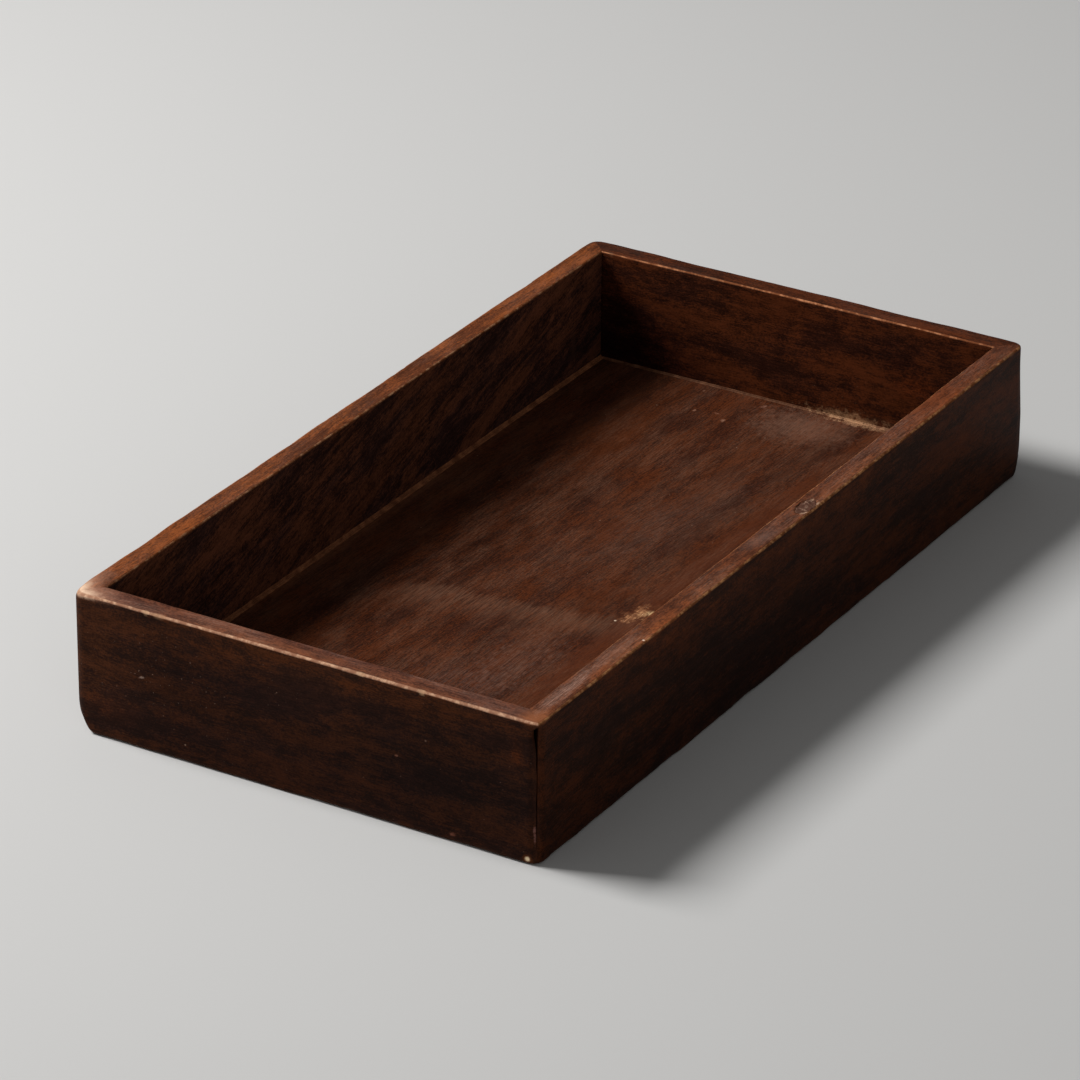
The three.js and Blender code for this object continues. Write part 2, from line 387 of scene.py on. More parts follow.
@dataclass
class Board:
    """One mitred wall: a board swept along its side, with worn arrises, corners and knocks.

    The rim is the outer upper arris, the lip the inner one, the foot the outer lower arris and the toe
    the inner one. A seam is fully open down to one depth and closed at another.
    """

    side: Side
    sizes: TraySizes
    corner_wear: dict[Corner, CornerWear]
    knocks: Knocks
    bites: Sequence[Bite] = ()
    rim_radius: float = 1.2 * MM
    lip_radius: float = 1.0 * MM
    foot_radius: float = 2.0 * MM
    toe_radius: float = 0.6 * MM
    corner_radius: float = 5 * MM
    glue_line: float = 0.01 * MM
    groove_play: float = 0.3 * MM
    station_pitch: float = 0.75 * MM
    outer_steps: int = 24
    rim_steps: int = 13
    inner_steps: int = 18
    foot_steps: int = 8
    arc_points: int = 6
    hollow: float = 0.1 * MM
    hollow_pitch: float = 30 * MM
    hollow_taper: float = 20 * MM
    square_depth: float = 4 * MM
    seam_open: float = 2 * MM
    seam_depth: float = 5 * MM
    seam_reach: float = 1.5 * MM
    sharp_angle: float = math.radians(50)

    @property
    def half(self) -> float:
        """Half of the board's length along its outer face."""
        return self.sizes.run(self.side) / 2

    def stations(self) -> tuple[np.ndarray, np.ndarray, np.ndarray, np.ndarray]:
        """Works out where the board's cross-sections stand.

        Returns:
            The share of the run at each station from -1 to 1, and in plan the outer points, the
            outward normals there and the inner points.
        """
        straight = self.half - self.corner_radius
        reach = straight + self.corner_radius * math.pi / 4
        share = np.linspace(-1, 1, 2 * round(reach / self.station_pitch) + 1)
        travelled, sign = np.abs(share) * reach, np.sign(share)
        angle = np.clip((travelled - straight) / self.corner_radius, 0, None)
        slip = self.glue_line / math.sqrt(2)
        outer_x = sign * (np.minimum(travelled, straight) + self.corner_radius * np.sin(angle))
        outer_y = self.corner_radius * (1 - np.cos(angle))
        outer = np.stack([outer_x * (1 - slip / self.half), outer_y], 1)
        normal = np.stack([sign * np.sin(angle), -np.cos(angle)], 1)
        inner_x = share * (self.half - self.sizes.wall - slip)
        return share, outer, normal, np.stack([inner_x, np.full(len(share), self.sizes.wall)], 1)

    def sections(self) -> tuple[np.ndarray, dict[str, np.ndarray]]:
        """Draws the board's cross-section at every station.

        Returns:
            An array of stations by points by (along, inwards, up), and the distance of each point
            from each named arris, in millimetres.
        """
        share, outer, normal, inner = self.stations()
        top, count = self.sizes.height, len(share)
        along = share * self.half
        wears = [self.corner_wear[corner].rim for corner in self.side.corners]
        seed = 10 * self.side.value
        rim = Arris(self.rim_radius, seed + 1).radii(along, self.half, (wears[0], wears[1]))
        lip = Arris(self.lip_radius, seed + 2).radii(along, self.half, (0.0, 0.0))
        foot = Arris(self.foot_radius, seed + 3).radii(along, self.half, (0.0, 0.0))
        toe = np.full(count, self.toe_radius)
        quarter = np.linspace(0, math.pi / 2, self.arc_points + 1)
        rows: list[np.ndarray] = []

        def inset(depth: Union[float, np.ndarray]) -> np.ndarray:
            """The plan points at one depth behind the inner face, which reach right to the mitres."""
            return inner + np.stack([share * depth, np.broadcast_to(-depth, (count,))], 1)

        def add(plan: np.ndarray, up: Union[float, np.ndarray]) -> None:
            """Adds one point of the section at every station."""
            rows.append(np.concatenate([plan, np.broadcast_to(up, (count,))[:, None]], 1))

        for step in eased_steps(self.outer_steps):
            add(outer, foot + step * (top - rim - foot))
        for turn in quarter[1:]:
            add(outer - normal * (rim * (1 - math.cos(turn)))[:, None], top - rim + rim * math.sin(turn))
        start, end = outer - normal * rim[:, None], inset(lip)
        for step in eased_steps(self.rim_steps)[1:-1]:
            add(start + step * (end - start), top)
        for turn in quarter[::-1]:
            add(inset(lip * (1 - math.cos(turn))), top - lip + lip * math.sin(turn))
        groove_top = self.sizes.panel_top + self.groove_play
        for step in eased_steps(self.inner_steps)[1:]:
            add(inner, top - lip + step * (groove_top - top + lip))
        for up in (groove_top, self.sizes.panel_foot):
            add(inset(self.sizes.groove), up)
        for step in (0.0, 0.5, 1.0):
            add(inner, self.sizes.panel_foot + step * (toe - self.sizes.panel_foot))
        for turn in quarter[1::2]:
            add(inset(toe * (1 - math.cos(turn))), toe - toe * math.sin(turn))
        start, end = inset(toe), outer - normal * foot[:, None]
        for step in eased_steps(self.foot_steps)[1:-1]:
            add(start + step * (end - start), 0.0)
        for turn in quarter[::-1][:-1]:
            add(outer - normal * (foot * (1 - math.cos(turn)))[:, None], foot - foot * math.sin(turn))
        points = np.stack(rows, 1)
        tips = np.stack([self.half - np.abs(points[..., 0]), points[..., 1]], -1)
        edges = {
            "rim_outer": from_edge(points, outer, top, rim),
            "rim_inner": from_edge(points, inner, top, lip),
            "foot_outer": from_edge(points, outer, 0.0, foot),
            "upright": np.clip(np.sqrt((tips**2).sum(-1)) - TIP * self.corner_radius, 0, None) / MM,
        }
        self.square_corners(points, share, outer)
        return points, edges

    def square_corners(self, points: np.ndarray, share: np.ndarray, outer: np.ndarray) -> None:
        """Fills out the rounded corners where they are still square.

        Args:
            points: Stations by points by (along, inwards, up), which are changed.
            share: Each station's share of the run, from -1 to 1.
            outer: Each station's outer point in plan.
        """
        straight, arc = self.half - self.corner_radius, self.corner_radius * math.pi / 4
        travelled = np.abs(share) * (straight + arc)
        turned = np.clip((travelled - straight) / arc, 0, 1)
        square = np.sign(share) * (np.minimum(travelled, straight) + self.corner_radius * turned)
        apart = np.stack([square * (1 - self.glue_line / self.half), 0 * square], 1) - outer
        depth = np.linalg.norm(points[..., :2] - outer[:, None, :], axis=-1)
        for sign, corner in zip((-1, 1), self.side.corners):
            heights, shares = zip(*self.corner_wear[corner].fullness)
            full = np.interp(points[..., 2], heights, shares) * np.clip(1 - depth / self.square_depth, 0, 1)
            points[..., :2] += (full * (share * sign > 0)[:, None])[..., None] * apart[:, None, :]

    def wear_feet(self, points: np.ndarray) -> None:
        """Rounds the two bottom corners, in the upright plane through each corner's diagonal."""
        for sign, corner in zip((-1, 1), self.side.corners):
            reach, rise = self.corner_wear[corner].foot
            tip = TIP * self.corner_radius * (1 - self.corner_wear[corner].fullness[0][1])
            outwards = (sign * points[:, 0] - self.half - points[:, 1]) / math.sqrt(2) + tip + reach
            down = rise - points[:, 2]
            over = np.hypot(np.clip(outwards, 0, None) / reach, np.clip(down, 0, None) / rise)
            worn = (outwards > 0) & (down > 0) & (over > 1)
            kept = 1 / over[worn]
            back = outwards[worn] * (1 - kept) / math.sqrt(2)
            points[worn] += np.stack([-sign * back, back, down[worn] * (1 - kept)], 1)

    def open_seams(self, points: np.ndarray) -> None:
        """Draws the board back from its mitres where a corner's seam has opened."""
        for sign, corner in zip((-1, 1), self.side.corners):
            wear = self.corner_wear[corner]
            heights, widths = zip(*wear.seam)
            wide = np.interp(points[:, 2], heights, widths) * (wear.split if sign > 0 else 1 - wear.split)
            from_mitre = (self.half - sign * points[:, 0] - points[:, 1]) / math.sqrt(2)
            depth = np.clip(points[:, 1] * math.sqrt(2) - self.seam_open, 0, None)
            near = (wide > 0) & (from_mitre < 4 * self.seam_reach) & (depth < self.seam_depth)
            ragged = 1 + 0.4 * wander(points[near, 2], 2.5 * MM, 50 + self.side.value, 2)
            share = np.exp(-((from_mitre[near] / self.seam_reach) ** 2)) * (1 - depth[near] / self.seam_depth)
            back = wide[near] * share * ragged
            points[near] += np.stack([-sign * back, 0.15 * back, 0 * back], 1)

    def build(self, finish: bpy.types.Material) -> bpy.types.Object:
        """Builds the board's mesh in place, with its arris distances stored.

        Args:
            finish: The board's material.

        Returns:
            The board's object.
        """
        sections, edges = self.sections()
        stations, around = sections.shape[:2]
        local, bare = sections.reshape(-1, 3), np.zeros(stations * around)
        self.wear_feet(local)
        self.open_seams(local)
        for bite in [*self.knocks.bites(self.half, self.sizes.height, self.sizes.wall), *self.bites]:
            bite.apply(local, bare)
        ends = np.clip((self.half - np.abs(local[:, 0])) / self.hollow_taper, 0, 1)
        waves = drift(local, self.hollow_pitch, 60 + self.side.value)
        sunk = self.hollow * ends * np.clip(0.5 + 0.5 * waves, 0, 1)
        local[:, 1] += sunk * (1 - 2 * local[:, 1] / self.sizes.wall)
        local[:, 2] = np.clip(local[:, 2], 0, self.sizes.height)
        first = np.arange(stations - 1)[:, None] * around
        near = first + np.arange(around)[None, :]
        far = first + np.roll(np.arange(around), -1)[None, :]
        quads = np.stack([near + around, far + around, far, near], -1).reshape(-1, 4)
        caps = [np.arange(around), ((stations - 1) * around + np.arange(around))[::-1]]
        points = self.sizes.place(self.side, local)
        piece = mesh_object(f"{self.side.label}_board", points, [*quads.tolist(), *[c.tolist() for c in caps]])
        piece.data.set_sharp_from_angle(angle=self.sharp_angle)
        for edge, distances in edges.items():
            store(piece, edge, distances)
        store(piece, "bare", bare)
        piece.data.materials.append(finish)
        dress(piece, "stained_wood", f"{self.side.label}_wall")
        return piece


@dataclass
class BasePanel:
    """The single board that makes the tray's floor, let into the grooves of the walls."""

    pitch: float = 2.0 * MM
    ease: float = 0.5 * MM
    hollow: float = 0.15 * MM
    hollow_pitch: float = 45 * MM
    sharp_angle: float = math.radians(60)

    def build(self, finish: bpy.types.Material) -> bpy.types.Object:
        """Builds the panel as a slab with a slightly uneven top.

        Args:
            finish: The panel's material.

        Returns:
            The panel's object.
        """
        low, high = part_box("base_panel")
        counts = [round((high[k] - low[k]) / self.pitch) + 1 for k in (0, 1)]
        rows = [np.linspace(low[k] + self.ease, high[k] - self.ease, counts[k]) for k in (0, 1)]
        grid_x, grid_y = np.meshgrid(*rows, indexing="ij")
        flat = np.stack([grid_x.ravel(), grid_y.ravel(), np.zeros(grid_x.size)], 1)
        dip = np.clip(0.5 + 0.5 * drift(flat, self.hollow_pitch, 4), 0, 1) * self.hollow
        top, bottom = flat.copy(), flat.copy()
        top[:, 2], bottom[:, 2] = high.z - dip, low.z + dip
        number = np.arange(grid_x.size).reshape(grid_x.shape)
        quads = np.stack([number[:-1, :-1], number[1:, :-1], number[1:, 1:], number[:-1, 1:]], -1).reshape(-1, 4)
        rim = np.array([*number[:, 0], *number[-1, 1:], *number[-2::-1, -1], *number[0, -2:0:-1]])
        column, line = np.divmod(rim, counts[1])
        past_x = (column == counts[0] - 1) * 1.0 - (column == 0)
        past_y = (line == counts[1] - 1) * 1.0 - (line == 0)
        outwards = np.stack([past_x, past_y, 0.0 * rim], 1)
        belts = []
        for up in (high.z - self.ease, low.z + self.ease):
            belt = flat[rim] + outwards * self.ease
            belt[:, 2] = up
            belts.append(belt)
        size, ring = grid_x.size, len(rim)
        faces = [*quads.tolist(), *(quads[:, ::-1] + size).tolist()]
        loops = [rim, 2 * size + np.arange(ring), 2 * size + ring + np.arange(ring), size + rim]
        for upper, lower in zip(loops, loops[1:]):
            faces += np.stack([upper, lower, np.roll(lower, -1), np.roll(upper, -1)], 1).tolist()
        piece = mesh_object("floor_panel", np.concatenate([top, bottom, *belts]), faces)
        piece.data.set_sharp_from_angle(angle=self.sharp_angle)
        piece.data.materials.append(finish)
        dress(piece, "panel_wood", "base_panel")
        return piece


@dataclass
class RimFiller:
    """The lump of filler pressed into the gouge in the right side's rim.

    It fills most of the gouge's depth, and lumps gives the pitch, the height and the seed of each layer
    of the roughness on top.
    """

    along: float = 14 * MM
    from_face: float = 4.0 * MM
    radii: tuple[float, float] = (6.8 * MM, 3.2 * MM)
    depth: float = 2.6 * MM
    fill: float = 0.9
    sunk: float = 0.25 * MM
    below_rim: float = 0.02 * MM
    lumps: Sequence[tuple[float, float, int]] = ((1.3 * MM, 0.22 * MM, 8), (3.5 * MM, 0.15 * MM, 9))
    rings: int = 12
    spokes: int = 64

    def pocket(self, height: float) -> Bite:
        """The gouge that the filler sits in, as a bite out of the right side's board."""
        return Bite((self.along, self.from_face, height), (*self.radii, 2 * MM), self.depth, (0.0, 0.0, -1.0), 0.4)

    def build(self, sizes: TraySizes, finish: bpy.types.Material) -> bpy.types.Object:
        """Builds the lump, with a rough top just below the rim and a rounded underside.

        Args:
            sizes: The tray's sizes.
            finish: The filler's material.

        Returns:
            The filler's object.
        """
        angle = np.arange(self.spokes) * 2 * math.pi / self.spokes
        ragged = 1 + 0.12 * wander(angle, 0.7, 3, 3) * np.sin(angle / 2) ** 2
        plan = np.stack([np.cos(angle) * self.radii[0], np.sin(angle) * self.radii[1]], 1) * ragged[:, None]
        shares = np.linspace(0, 1, self.rings + 1)[1:]
        level, thickness = sizes.height - self.sunk, self.fill * self.depth
        rings = [(share, 0.0) for share in shares]
        rings += [(share, thickness * math.sqrt(1 - share**2)) for share in shares[-2::-1]]
        rows = [np.concatenate([plan * share, np.full((self.spokes, 1), level - down)], 1) for share, down in rings]
        points = np.concatenate([[[0, 0, level]], *rows, [[0, 0, level - thickness]]])
        lumps = sum(drift(points, pitch, seed) * rise for pitch, rise, seed in self.lumps)
        on_top = np.arange(len(points)) <= self.spokes * self.rings
        points[on_top, 2] = np.minimum(points[on_top, 2] + lumps[on_top], sizes.height - self.below_rim)
        points += [self.along, self.from_face - sizes.width / 2, 0]
        spoke = np.arange(self.spokes)
        follow = np.roll(spoke, -1)
        faces = [[0, 1 + k, 1 + f] for k, f in zip(spoke, follow)]
        for row in range(len(rows) - 1):
            first, second = 1 + row * self.spokes, 1 + (row + 1) * self.spokes
            faces += np.stack([first + spoke, second + spoke, second + follow, first + follow], 1).tolist()
        last, tip = 1 + (len(rows) - 1) * self.spokes, len(points) - 1
        faces += [[last + f, last + k, tip] for k, f in zip(spoke, follow)]
        piece = mesh_object("filler_patch", points, faces)
        piece.data.materials.append(finish)
        dress(piece, "wood_filler", "rim_filler")
        return piece


class Nodes:
    """Short calls that add nodes to one tree and join them up."""

    def __init__(self, tree: bpy.types.NodeTree) -> None:
        """Keeps the tree that the nodes go into."""
        self.tree = tree

    def add(self, kind: str, inputs: Optional[dict] = None, **settings: object) -> bpy.types.Node:
        """Adds a node.

        Args:
            kind: The node's type.
            inputs: A number, colour, vector or socket for each named or numbered input.
            settings: The node's own options.

        Returns:
            The node.
        """
        node = self.tree.nodes.new(kind)
        for key, value in settings.items():
            setattr(node, key, value)
        for key, value in (inputs or {}).items():
            if isinstance(value, bpy.types.NodeSocket):
                self.tree.links.new(value, node.inputs[key])
            else:
                node.inputs[key].default_value = value
        return node

    def math(self, operation: str, *values: Value) -> Socket:
        """A Math node's result."""
        return self.add("ShaderNodeMath", dict(enumerate(values)), operation=operation).outputs[0]

    def vector(self, operation: str, *values: Value) -> Socket:
        """A Vector Math node's vector."""
        return self.add("ShaderNodeVectorMath", dict(enumerate(values)), operation=operation).outputs[0]

    def scale(self, vector: Value, amount: Value) -> Socket:
        """A vector times a number."""
        return self.add("ShaderNodeVectorMath", {0: vector, "Scale": amount}, operation="SCALE").outputs[0]

    def length(self, vector: Value) -> Socket:
        """A vector's length."""
        return self.add("ShaderNodeVectorMath", {0: vector}, operation="LENGTH").outputs["Value"]

    def join(self, x: Value, y: Value, z: Value) -> Socket:
        """A vector from three numbers."""
        return self.add("ShaderNodeCombineXYZ", {0: x, 1: y, 2: z}).outputs[0]

    def split(self, vector: Value) -> Sequence[Socket]:
        """A vector's three numbers."""
        return self.add("ShaderNodeSeparateXYZ", {0: vector}).outputs

    def fade(self, value: Value, start: Value, end: Value, low: Value = 0.0, high: Value = 1.0) -> Socket:
        """Eases from low to high while value goes from start to end."""
        inputs = {"Value": value, "From Min": start, "From Max": end, "To Min": low, "To Max": high}
        return self.add("ShaderNodeMapRange", inputs, interpolation_type="SMOOTHSTEP").outputs[0]

    def noise(self, vector: Value, detail: float = 2.0, roughness: float = 0.5) -> Socket:
        """Noise of unit pitch, from 0 to 1."""
        inputs = {"Vector": vector, "Scale": 1.0, "Detail": detail, "Roughness": roughness}
        return self.add("ShaderNodeTexNoise", inputs).outputs[0]

    def swing(self, vector: Value, amount: Value, detail: float = 2.0, roughness: float = 0.5) -> Socket:
        """Noise of unit pitch, from minus amount to amount."""
        centred = self.math("SUBTRACT", self.noise(vector, detail, roughness), 0.5)
        return self.math("MULTIPLY", centred, self.math("MULTIPLY", amount, 2.0))

    def mix(self, share: Value, under: Value, over: Value, blend: str = "MIX") -> Socket:
        """A colour between two."""
        settings = {"data_type": "RGBA", "blend_type": blend}
        return self.add("ShaderNodeMix", {0: share, 6: under, 7: over}, **settings).outputs[2]

    def between(self, share: Value, low: Value, high: Value) -> Socket:
        """A number between two."""
        return self.add("ShaderNodeMix", {0: share, 2: low, 3: high}, data_type="FLOAT").outputs[0]

    def attribute(self, name: str) -> Socket:
        """A number that is stored on the piece."""
        return self.add("ShaderNodeAttribute", attribute_name=name, attribute_type="GEOMETRY").outputs["Fac"]


@dataclass(frozen=True)
class Effect:
    """A shader node group that several finishes share, with named inputs and outputs."""

    name: str
    takes: Sequence[tuple[str, str, Optional[Value]]]
    gives: Sequence[tuple[str, str]]
    draw: Callable[[Nodes, dict[str, Socket]], Sequence[Socket]]

    def tree(self) -> bpy.types.NodeTree:
        """The group, which is built on first use."""
        found = bpy.data.node_groups.get(self.name)
        if found:
            return found
        tree = bpy.data.node_groups.new(self.name, "ShaderNodeTree")
        for label, kind, start in self.takes:
            socket = tree.interface.new_socket(name=label, in_out="INPUT", socket_type=f"NodeSocket{kind}")
            if start is not None:
                socket.default_value = start
        for label, kind in self.gives:
            tree.interface.new_socket(name=label, in_out="OUTPUT", socket_type=f"NodeSocket{kind}")
        nodes = Nodes(tree)
        source, sink = nodes.add("NodeGroupInput"), nodes.add("NodeGroupOutput")
        results = self.draw(nodes, {label: source.outputs[label] for label, _, _ in self.takes})
        for (label, _), result in zip(self.gives, results):
            tree.links.new(result, sink.inputs[label])
        return tree

    def place(self, nodes: Nodes, inputs: dict[str, Value]) -> bpy.types.bpy_prop_collection:
        """Places the group in a material.

        Args:
            nodes: The material's nodes.
            inputs: A value or socket for each input that isn't left at its default.

        Returns:
            The group's outputs.
        """
        return nodes.add("ShaderNodeGroup", inputs, node_tree=self.tree()).outputs


# The grain's layers: how finely each changes along and across the grain, per millimetre, where in the
# noise it lies, and the noise's detail and roughness.
GRAIN_LAYERS = {
    "Bands": (0.007, 0.10, 1.7, 2.0, 0.5),
    "Streaks": (0.050, 0.55, 4.1, 3.0, 0.6),
    "Threads": (0.12, 2.1, 8.3, 3.0, 0.7),
    "Flecks": (0.11, 0.22, 2.6, 4.0, 0.62),
    "Grit": (0.9, 1.5, 5.9, 2.0, 0.7),
}


def draw_grain(nodes: Nodes, given: dict[str, Socket]) -> Sequence[Socket]:
    """Draws wood that runs along X, in millimetres: its tone, its warmth, its pores and its height."""
    x, y, z = nodes.split(given["Vector"])
    lean_y, lean_z, _ = nodes.split(given["Lean"])
    y = nodes.math("SUBTRACT", y, nodes.math("MULTIPLY", x, lean_y))
    z = nodes.math("SUBTRACT", z, nodes.math("MULTIPLY", x, lean_z))
    seed = given["Seed"]
    slow = nodes.vector("MULTIPLY", given["Vector"], (0.014, 0.035, 0.035))
    slow = nodes.vector("ADD", slow, nodes.join(seed, seed, 0.0))
    y = nodes.math("ADD", y, nodes.swing(slow, given["Wave"], 3.0))
    z = nodes.math("ADD", z, nodes.swing(nodes.vector("ADD", slow, (7.3, 2.9, 5.1)), given["Wave"], 3.0))
    run = nodes.join(x, y, z)

    def layer(along: float, across: float, shift: float) -> Socket:
        """Coordinates for noise that is stretched along the grain."""
        scaled = nodes.vector("MULTIPLY", run, (along, across, across))
        return nodes.vector("ADD", scaled, nodes.join(shift, seed, shift))

    parts: dict[str, Socket] = {}
    tone: Value = 0.5
    for name, (along, across, shift, detail, roughness) in GRAIN_LAYERS.items():
        parts[name] = nodes.swing(layer(along, across, shift), 1.0, detail, roughness)
        tone = nodes.math("MULTIPLY_ADD", parts[name], given[name], tone)
    blotches = nodes.noise(layer(0.020, 0.070, 6.4), 3.0, 0.6)
    patches = nodes.math("MULTIPLY_ADD", nodes.math("SUBTRACT", tone, 0.5), 0.4, blotches)
    warmth = nodes.fade(patches, 0.36, 0.64)
    pores = nodes.fade(nodes.noise(layer(0.20, 3.1, 9.9), 1.0, 0.5), 0.60, 0.72)
    height = nodes.math("MULTIPLY_ADD", parts["Threads"], 0.5, nodes.math("MULTIPLY", parts["Streaks"], 0.35))
    return tone, warmth, pores, nodes.math("SUBTRACT", height, nodes.math("MULTIPLY", pores, 0.6))


GRAIN = Effect(
    "wood_grain",
    [
        ("Vector", "Vector", None),
        ("Lean", "Vector", (0.0, 0.0, 0.0)),
        ("Seed", "Float", 0.0),
        ("Wave", "Float", 2.0),
        ("Bands", "Float", 0.3),
        ("Streaks", "Float", 0.4),
        ("Threads", "Float", 0.5),
        ("Flecks", "Float", 0.0),
        ("Grit", "Float", 0.3),
    ],
    [("Tone", "Float"), ("Warmth", "Float"), ("Pores", "Float"), ("Height", "Float")],
    draw_grain,
)


def draw_arris(nodes: Nodes, given: dict[str, Socket]) -> Sequence[Socket]:
    """Draws the line where an arris has lost its stain, which on the near end's rim also holds a painted highlight, a
    little wider or brighter in some places.
    """
    coarse = nodes.noise(nodes.vector("MULTIPLY", given["Vector"], (0.06,) * 3), 2.0, 0.6)
    fine = nodes.noise(nodes.vector("MULTIPLY", given["Vector"], (0.7,) * 3), 3.0, 0.7)
    spread = nodes.math("MULTIPLY_ADD", coarse, 1.4, nodes.math("MULTIPLY_ADD", fine, 0.5, 0.05))
    reach = nodes.math("MULTIPLY", given["Width"], nodes.math("MAXIMUM", spread, 0.2))
    bright = nodes.noise(nodes.vector("MULTIPLY", given["Vector"], (0.25,) * 3), 3.0, 0.7)
    return nodes.fade(given["Distance"], reach, nodes.math("MULTIPLY", reach, 0.1)), nodes.fade(bright, 0.42, 0.68)


WORN_ARRIS_AND_HIGHLIGHT = Effect(
    "worn_arris_and_highlight",
    [("Vector", "Vector", None), ("Distance", "Float", 10.0), ("Width", "Float", 1.0)],
    [("Mask", "Float"), ("Bright", "Float")],
    draw_arris,
)


def draw_mark(nodes: Nodes, given: dict[str, Socket]) -> Sequence[Socket]:
    """Draws one soft, ragged or fibrous spot at a place on the tray, in millimetres."""
    away = nodes.vector("SUBTRACT", given["Vector"], given["Centre"])
    inputs = {"Vector": away, "Angle": given["Turn"], "Axis": given["Axis"]}
    turned = nodes.add("ShaderNodeVectorRotate", inputs).outputs[0]
    distance = nodes.length(nodes.vector("DIVIDE", turned, given["Radii"]))
    grit = nodes.vector("MULTIPLY", given["Vector"], (0.45,) * 3)
    ragged = nodes.math("ADD", distance, nodes.swing(grit, given["Ragged"], 4.0, 0.65))
    mask = nodes.fade(ragged, 1.0, nodes.math("SUBTRACT", 1.0, given["Soft"]))
    hairs = nodes.noise(nodes.vector("MULTIPLY", turned, given["Run"]), 3.0, 0.7)
    hairs = nodes.fade(hairs, 0.46, 0.62)
    return [nodes.math("MULTIPLY", mask, nodes.between(given["Fibres"], 1.0, hairs))]


MARK = Effect(
    "placed_mark",
    [
        ("Vector", "Vector", None),
        ("Centre", "Vector", (0.0, 0.0, 0.0)),
        ("Radii", "Vector", (1.0, 1.0, 1.0)),
        ("Turn", "Float", 0.0),
        ("Axis", "Vector", (0.0, 0.0, 1.0)),
        ("Soft", "Float", 0.8),
        ("Ragged", "Float", 0.5),
        ("Fibres", "Float", 0.0),
        ("Run", "Vector", (FIBRES_ALONG, FIBRES_ACROSS, FIBRES_ACROSS)),
    ],
    [("Mask", "Float")],
    draw_mark,
)


# The film's clouds, streaks and grit: how finely each changes along X, Y and Z, per millimetre, where
# its noise starts and stops rising, and how much film it leaves at least.
DUST_LAYERS = (
    ((0.030, 0.09, 0.09), 0.36, 0.66, 0.15),
    ((0.10, 1.9, 1.9), 0.38, 0.62, 0.2),
    ((0.9, 1.2, 1.2), 0.3, 0.7, 0.3),
)


def draw_dust(nodes: Nodes, given: dict[str, Socket]) -> Sequence[Socket]:
    """Draws the fine grey film that lies on worn wood that runs along X, cloudy, streaky and gritty."""
    film = given["Amount"]
    for scale, start, end, least in DUST_LAYERS:
        cloud = nodes.noise(nodes.vector("MULTIPLY", given["Vector"], scale), 3.0, 0.6)
        film = nodes.math("MULTIPLY", film, nodes.fade(cloud, start, end, least, 1.0))
    return [film]


DUST = Effect("dust_film", [("Vector", "Vector", None), ("Amount", "Float", 0.3)], [("Mask", "Float")], draw_dust)


def draw_specks(nodes: Nodes, given: dict[str, Socket]) -> Sequence[Socket]:
    """Draws small pale uneven specks, of which only a share of the cells holds one."""
    scale = nodes.math("DIVIDE", 1.0, given["Pitch"])
    slip = nodes.swing(nodes.vector("MULTIPLY", given["Vector"], (1.6,) * 3), 0.8, 2.0, 0.6)
    bent = nodes.vector("ADD", given["Vector"], nodes.join(slip, nodes.math("MULTIPLY", slip, -1.0), slip))
    cells = nodes.add("ShaderNodeTexVoronoi", {"Vector": bent, "Scale": scale})
    red, green, _ = nodes.split(cells.outputs["Color"])
    size = nodes.math("MULTIPLY", nodes.math("MULTIPLY", given["Size"], scale), nodes.math("ADD", green, 0.4))
    spot = nodes.fade(cells.outputs["Distance"], size, nodes.math("MULTIPLY", size, 0.4))
    return [nodes.math("MULTIPLY", spot, nodes.math("LESS_THAN", red, given["Share"]))]


SPECKS = Effect(
    "pale_specks",
    [("Vector", "Vector", None), ("Pitch", "Float", 6.0), ("Size", "Float", 0.5), ("Share", "Float", 0.3)],
    [("Mask", "Float")],
    draw_specks,
)


def linear(tone: Tone) -> tuple[float, float, float, float]:
    """A colour given on the screen's scale of 0 to 255, as the shader wants it."""
    parts = [c / 255 for c in tone]
    return (*[c / 12.92 if c <= 0.04045 else ((c + 0.055) / 1.055) ** 2.4 for c in parts], 1.0)


@dataclass(frozen=True)
class Mark:
    """A stain, scuff or bare place at one spot of the tray: where it is in millimetres, and its colour.

    Its turn is in degrees about its axis, and fibres says how far it breaks up into hairs along the grain.
    """

    centre: Triple
    radii: Triple
    tone: Tone
    strength: float
    soft: float = 0.9
    ragged: float = 0.5
    fibres: float = 0.0
    turn: float = 0.0
    axis: Triple = (0.0, 0.0, 1.0)

    def cover(self, nodes: Nodes, spot: Socket, run: Triple) -> Socket:
        """How strongly the mark lies at each place."""
        inputs = {
            "Vector": spot,
            "Centre": self.centre,
            "Radii": self.radii,
            "Turn": math.radians(self.turn),
            "Axis": self.axis,
            "Soft": self.soft,
            "Ragged": self.ragged,
            "Fibres": self.fibres,
            "Run": run,
        }
        return nodes.math("MULTIPLY", MARK.place(nodes, inputs)["Mask"], self.strength)

    def over(self, nodes: Nodes, under: Socket) -> Value:
        """The colour that the mark turns another one into."""
        return linear(self.tone)

    def lay(self, nodes: Nodes, spot: Socket, run: Triple, under: Socket) -> Socket:
        """Lays the mark over a colour.

        Args:
            nodes: The material's nodes.
            spot: Tray coordinates in millimetres.
            run: How finely the fibres change along X, Y and Z, per millimetre.
            under: The colour so far.

        Returns:
            The colour with the mark on it.
        """
        return nodes.mix(self.cover(nodes, spot, run), under, self.over(nodes, under))


@dataclass(frozen=True)
class Tint(Mark):
    """A place where the wood is darker, lighter or warmer; its tone is what it multiplies by, in hundredths."""

    def over(self, nodes: Nodes, under: Socket) -> Value:
        """The colour multiplied by the tint."""
        return nodes.vector("MULTIPLY", under, tuple(c / 100 for c in self.tone))


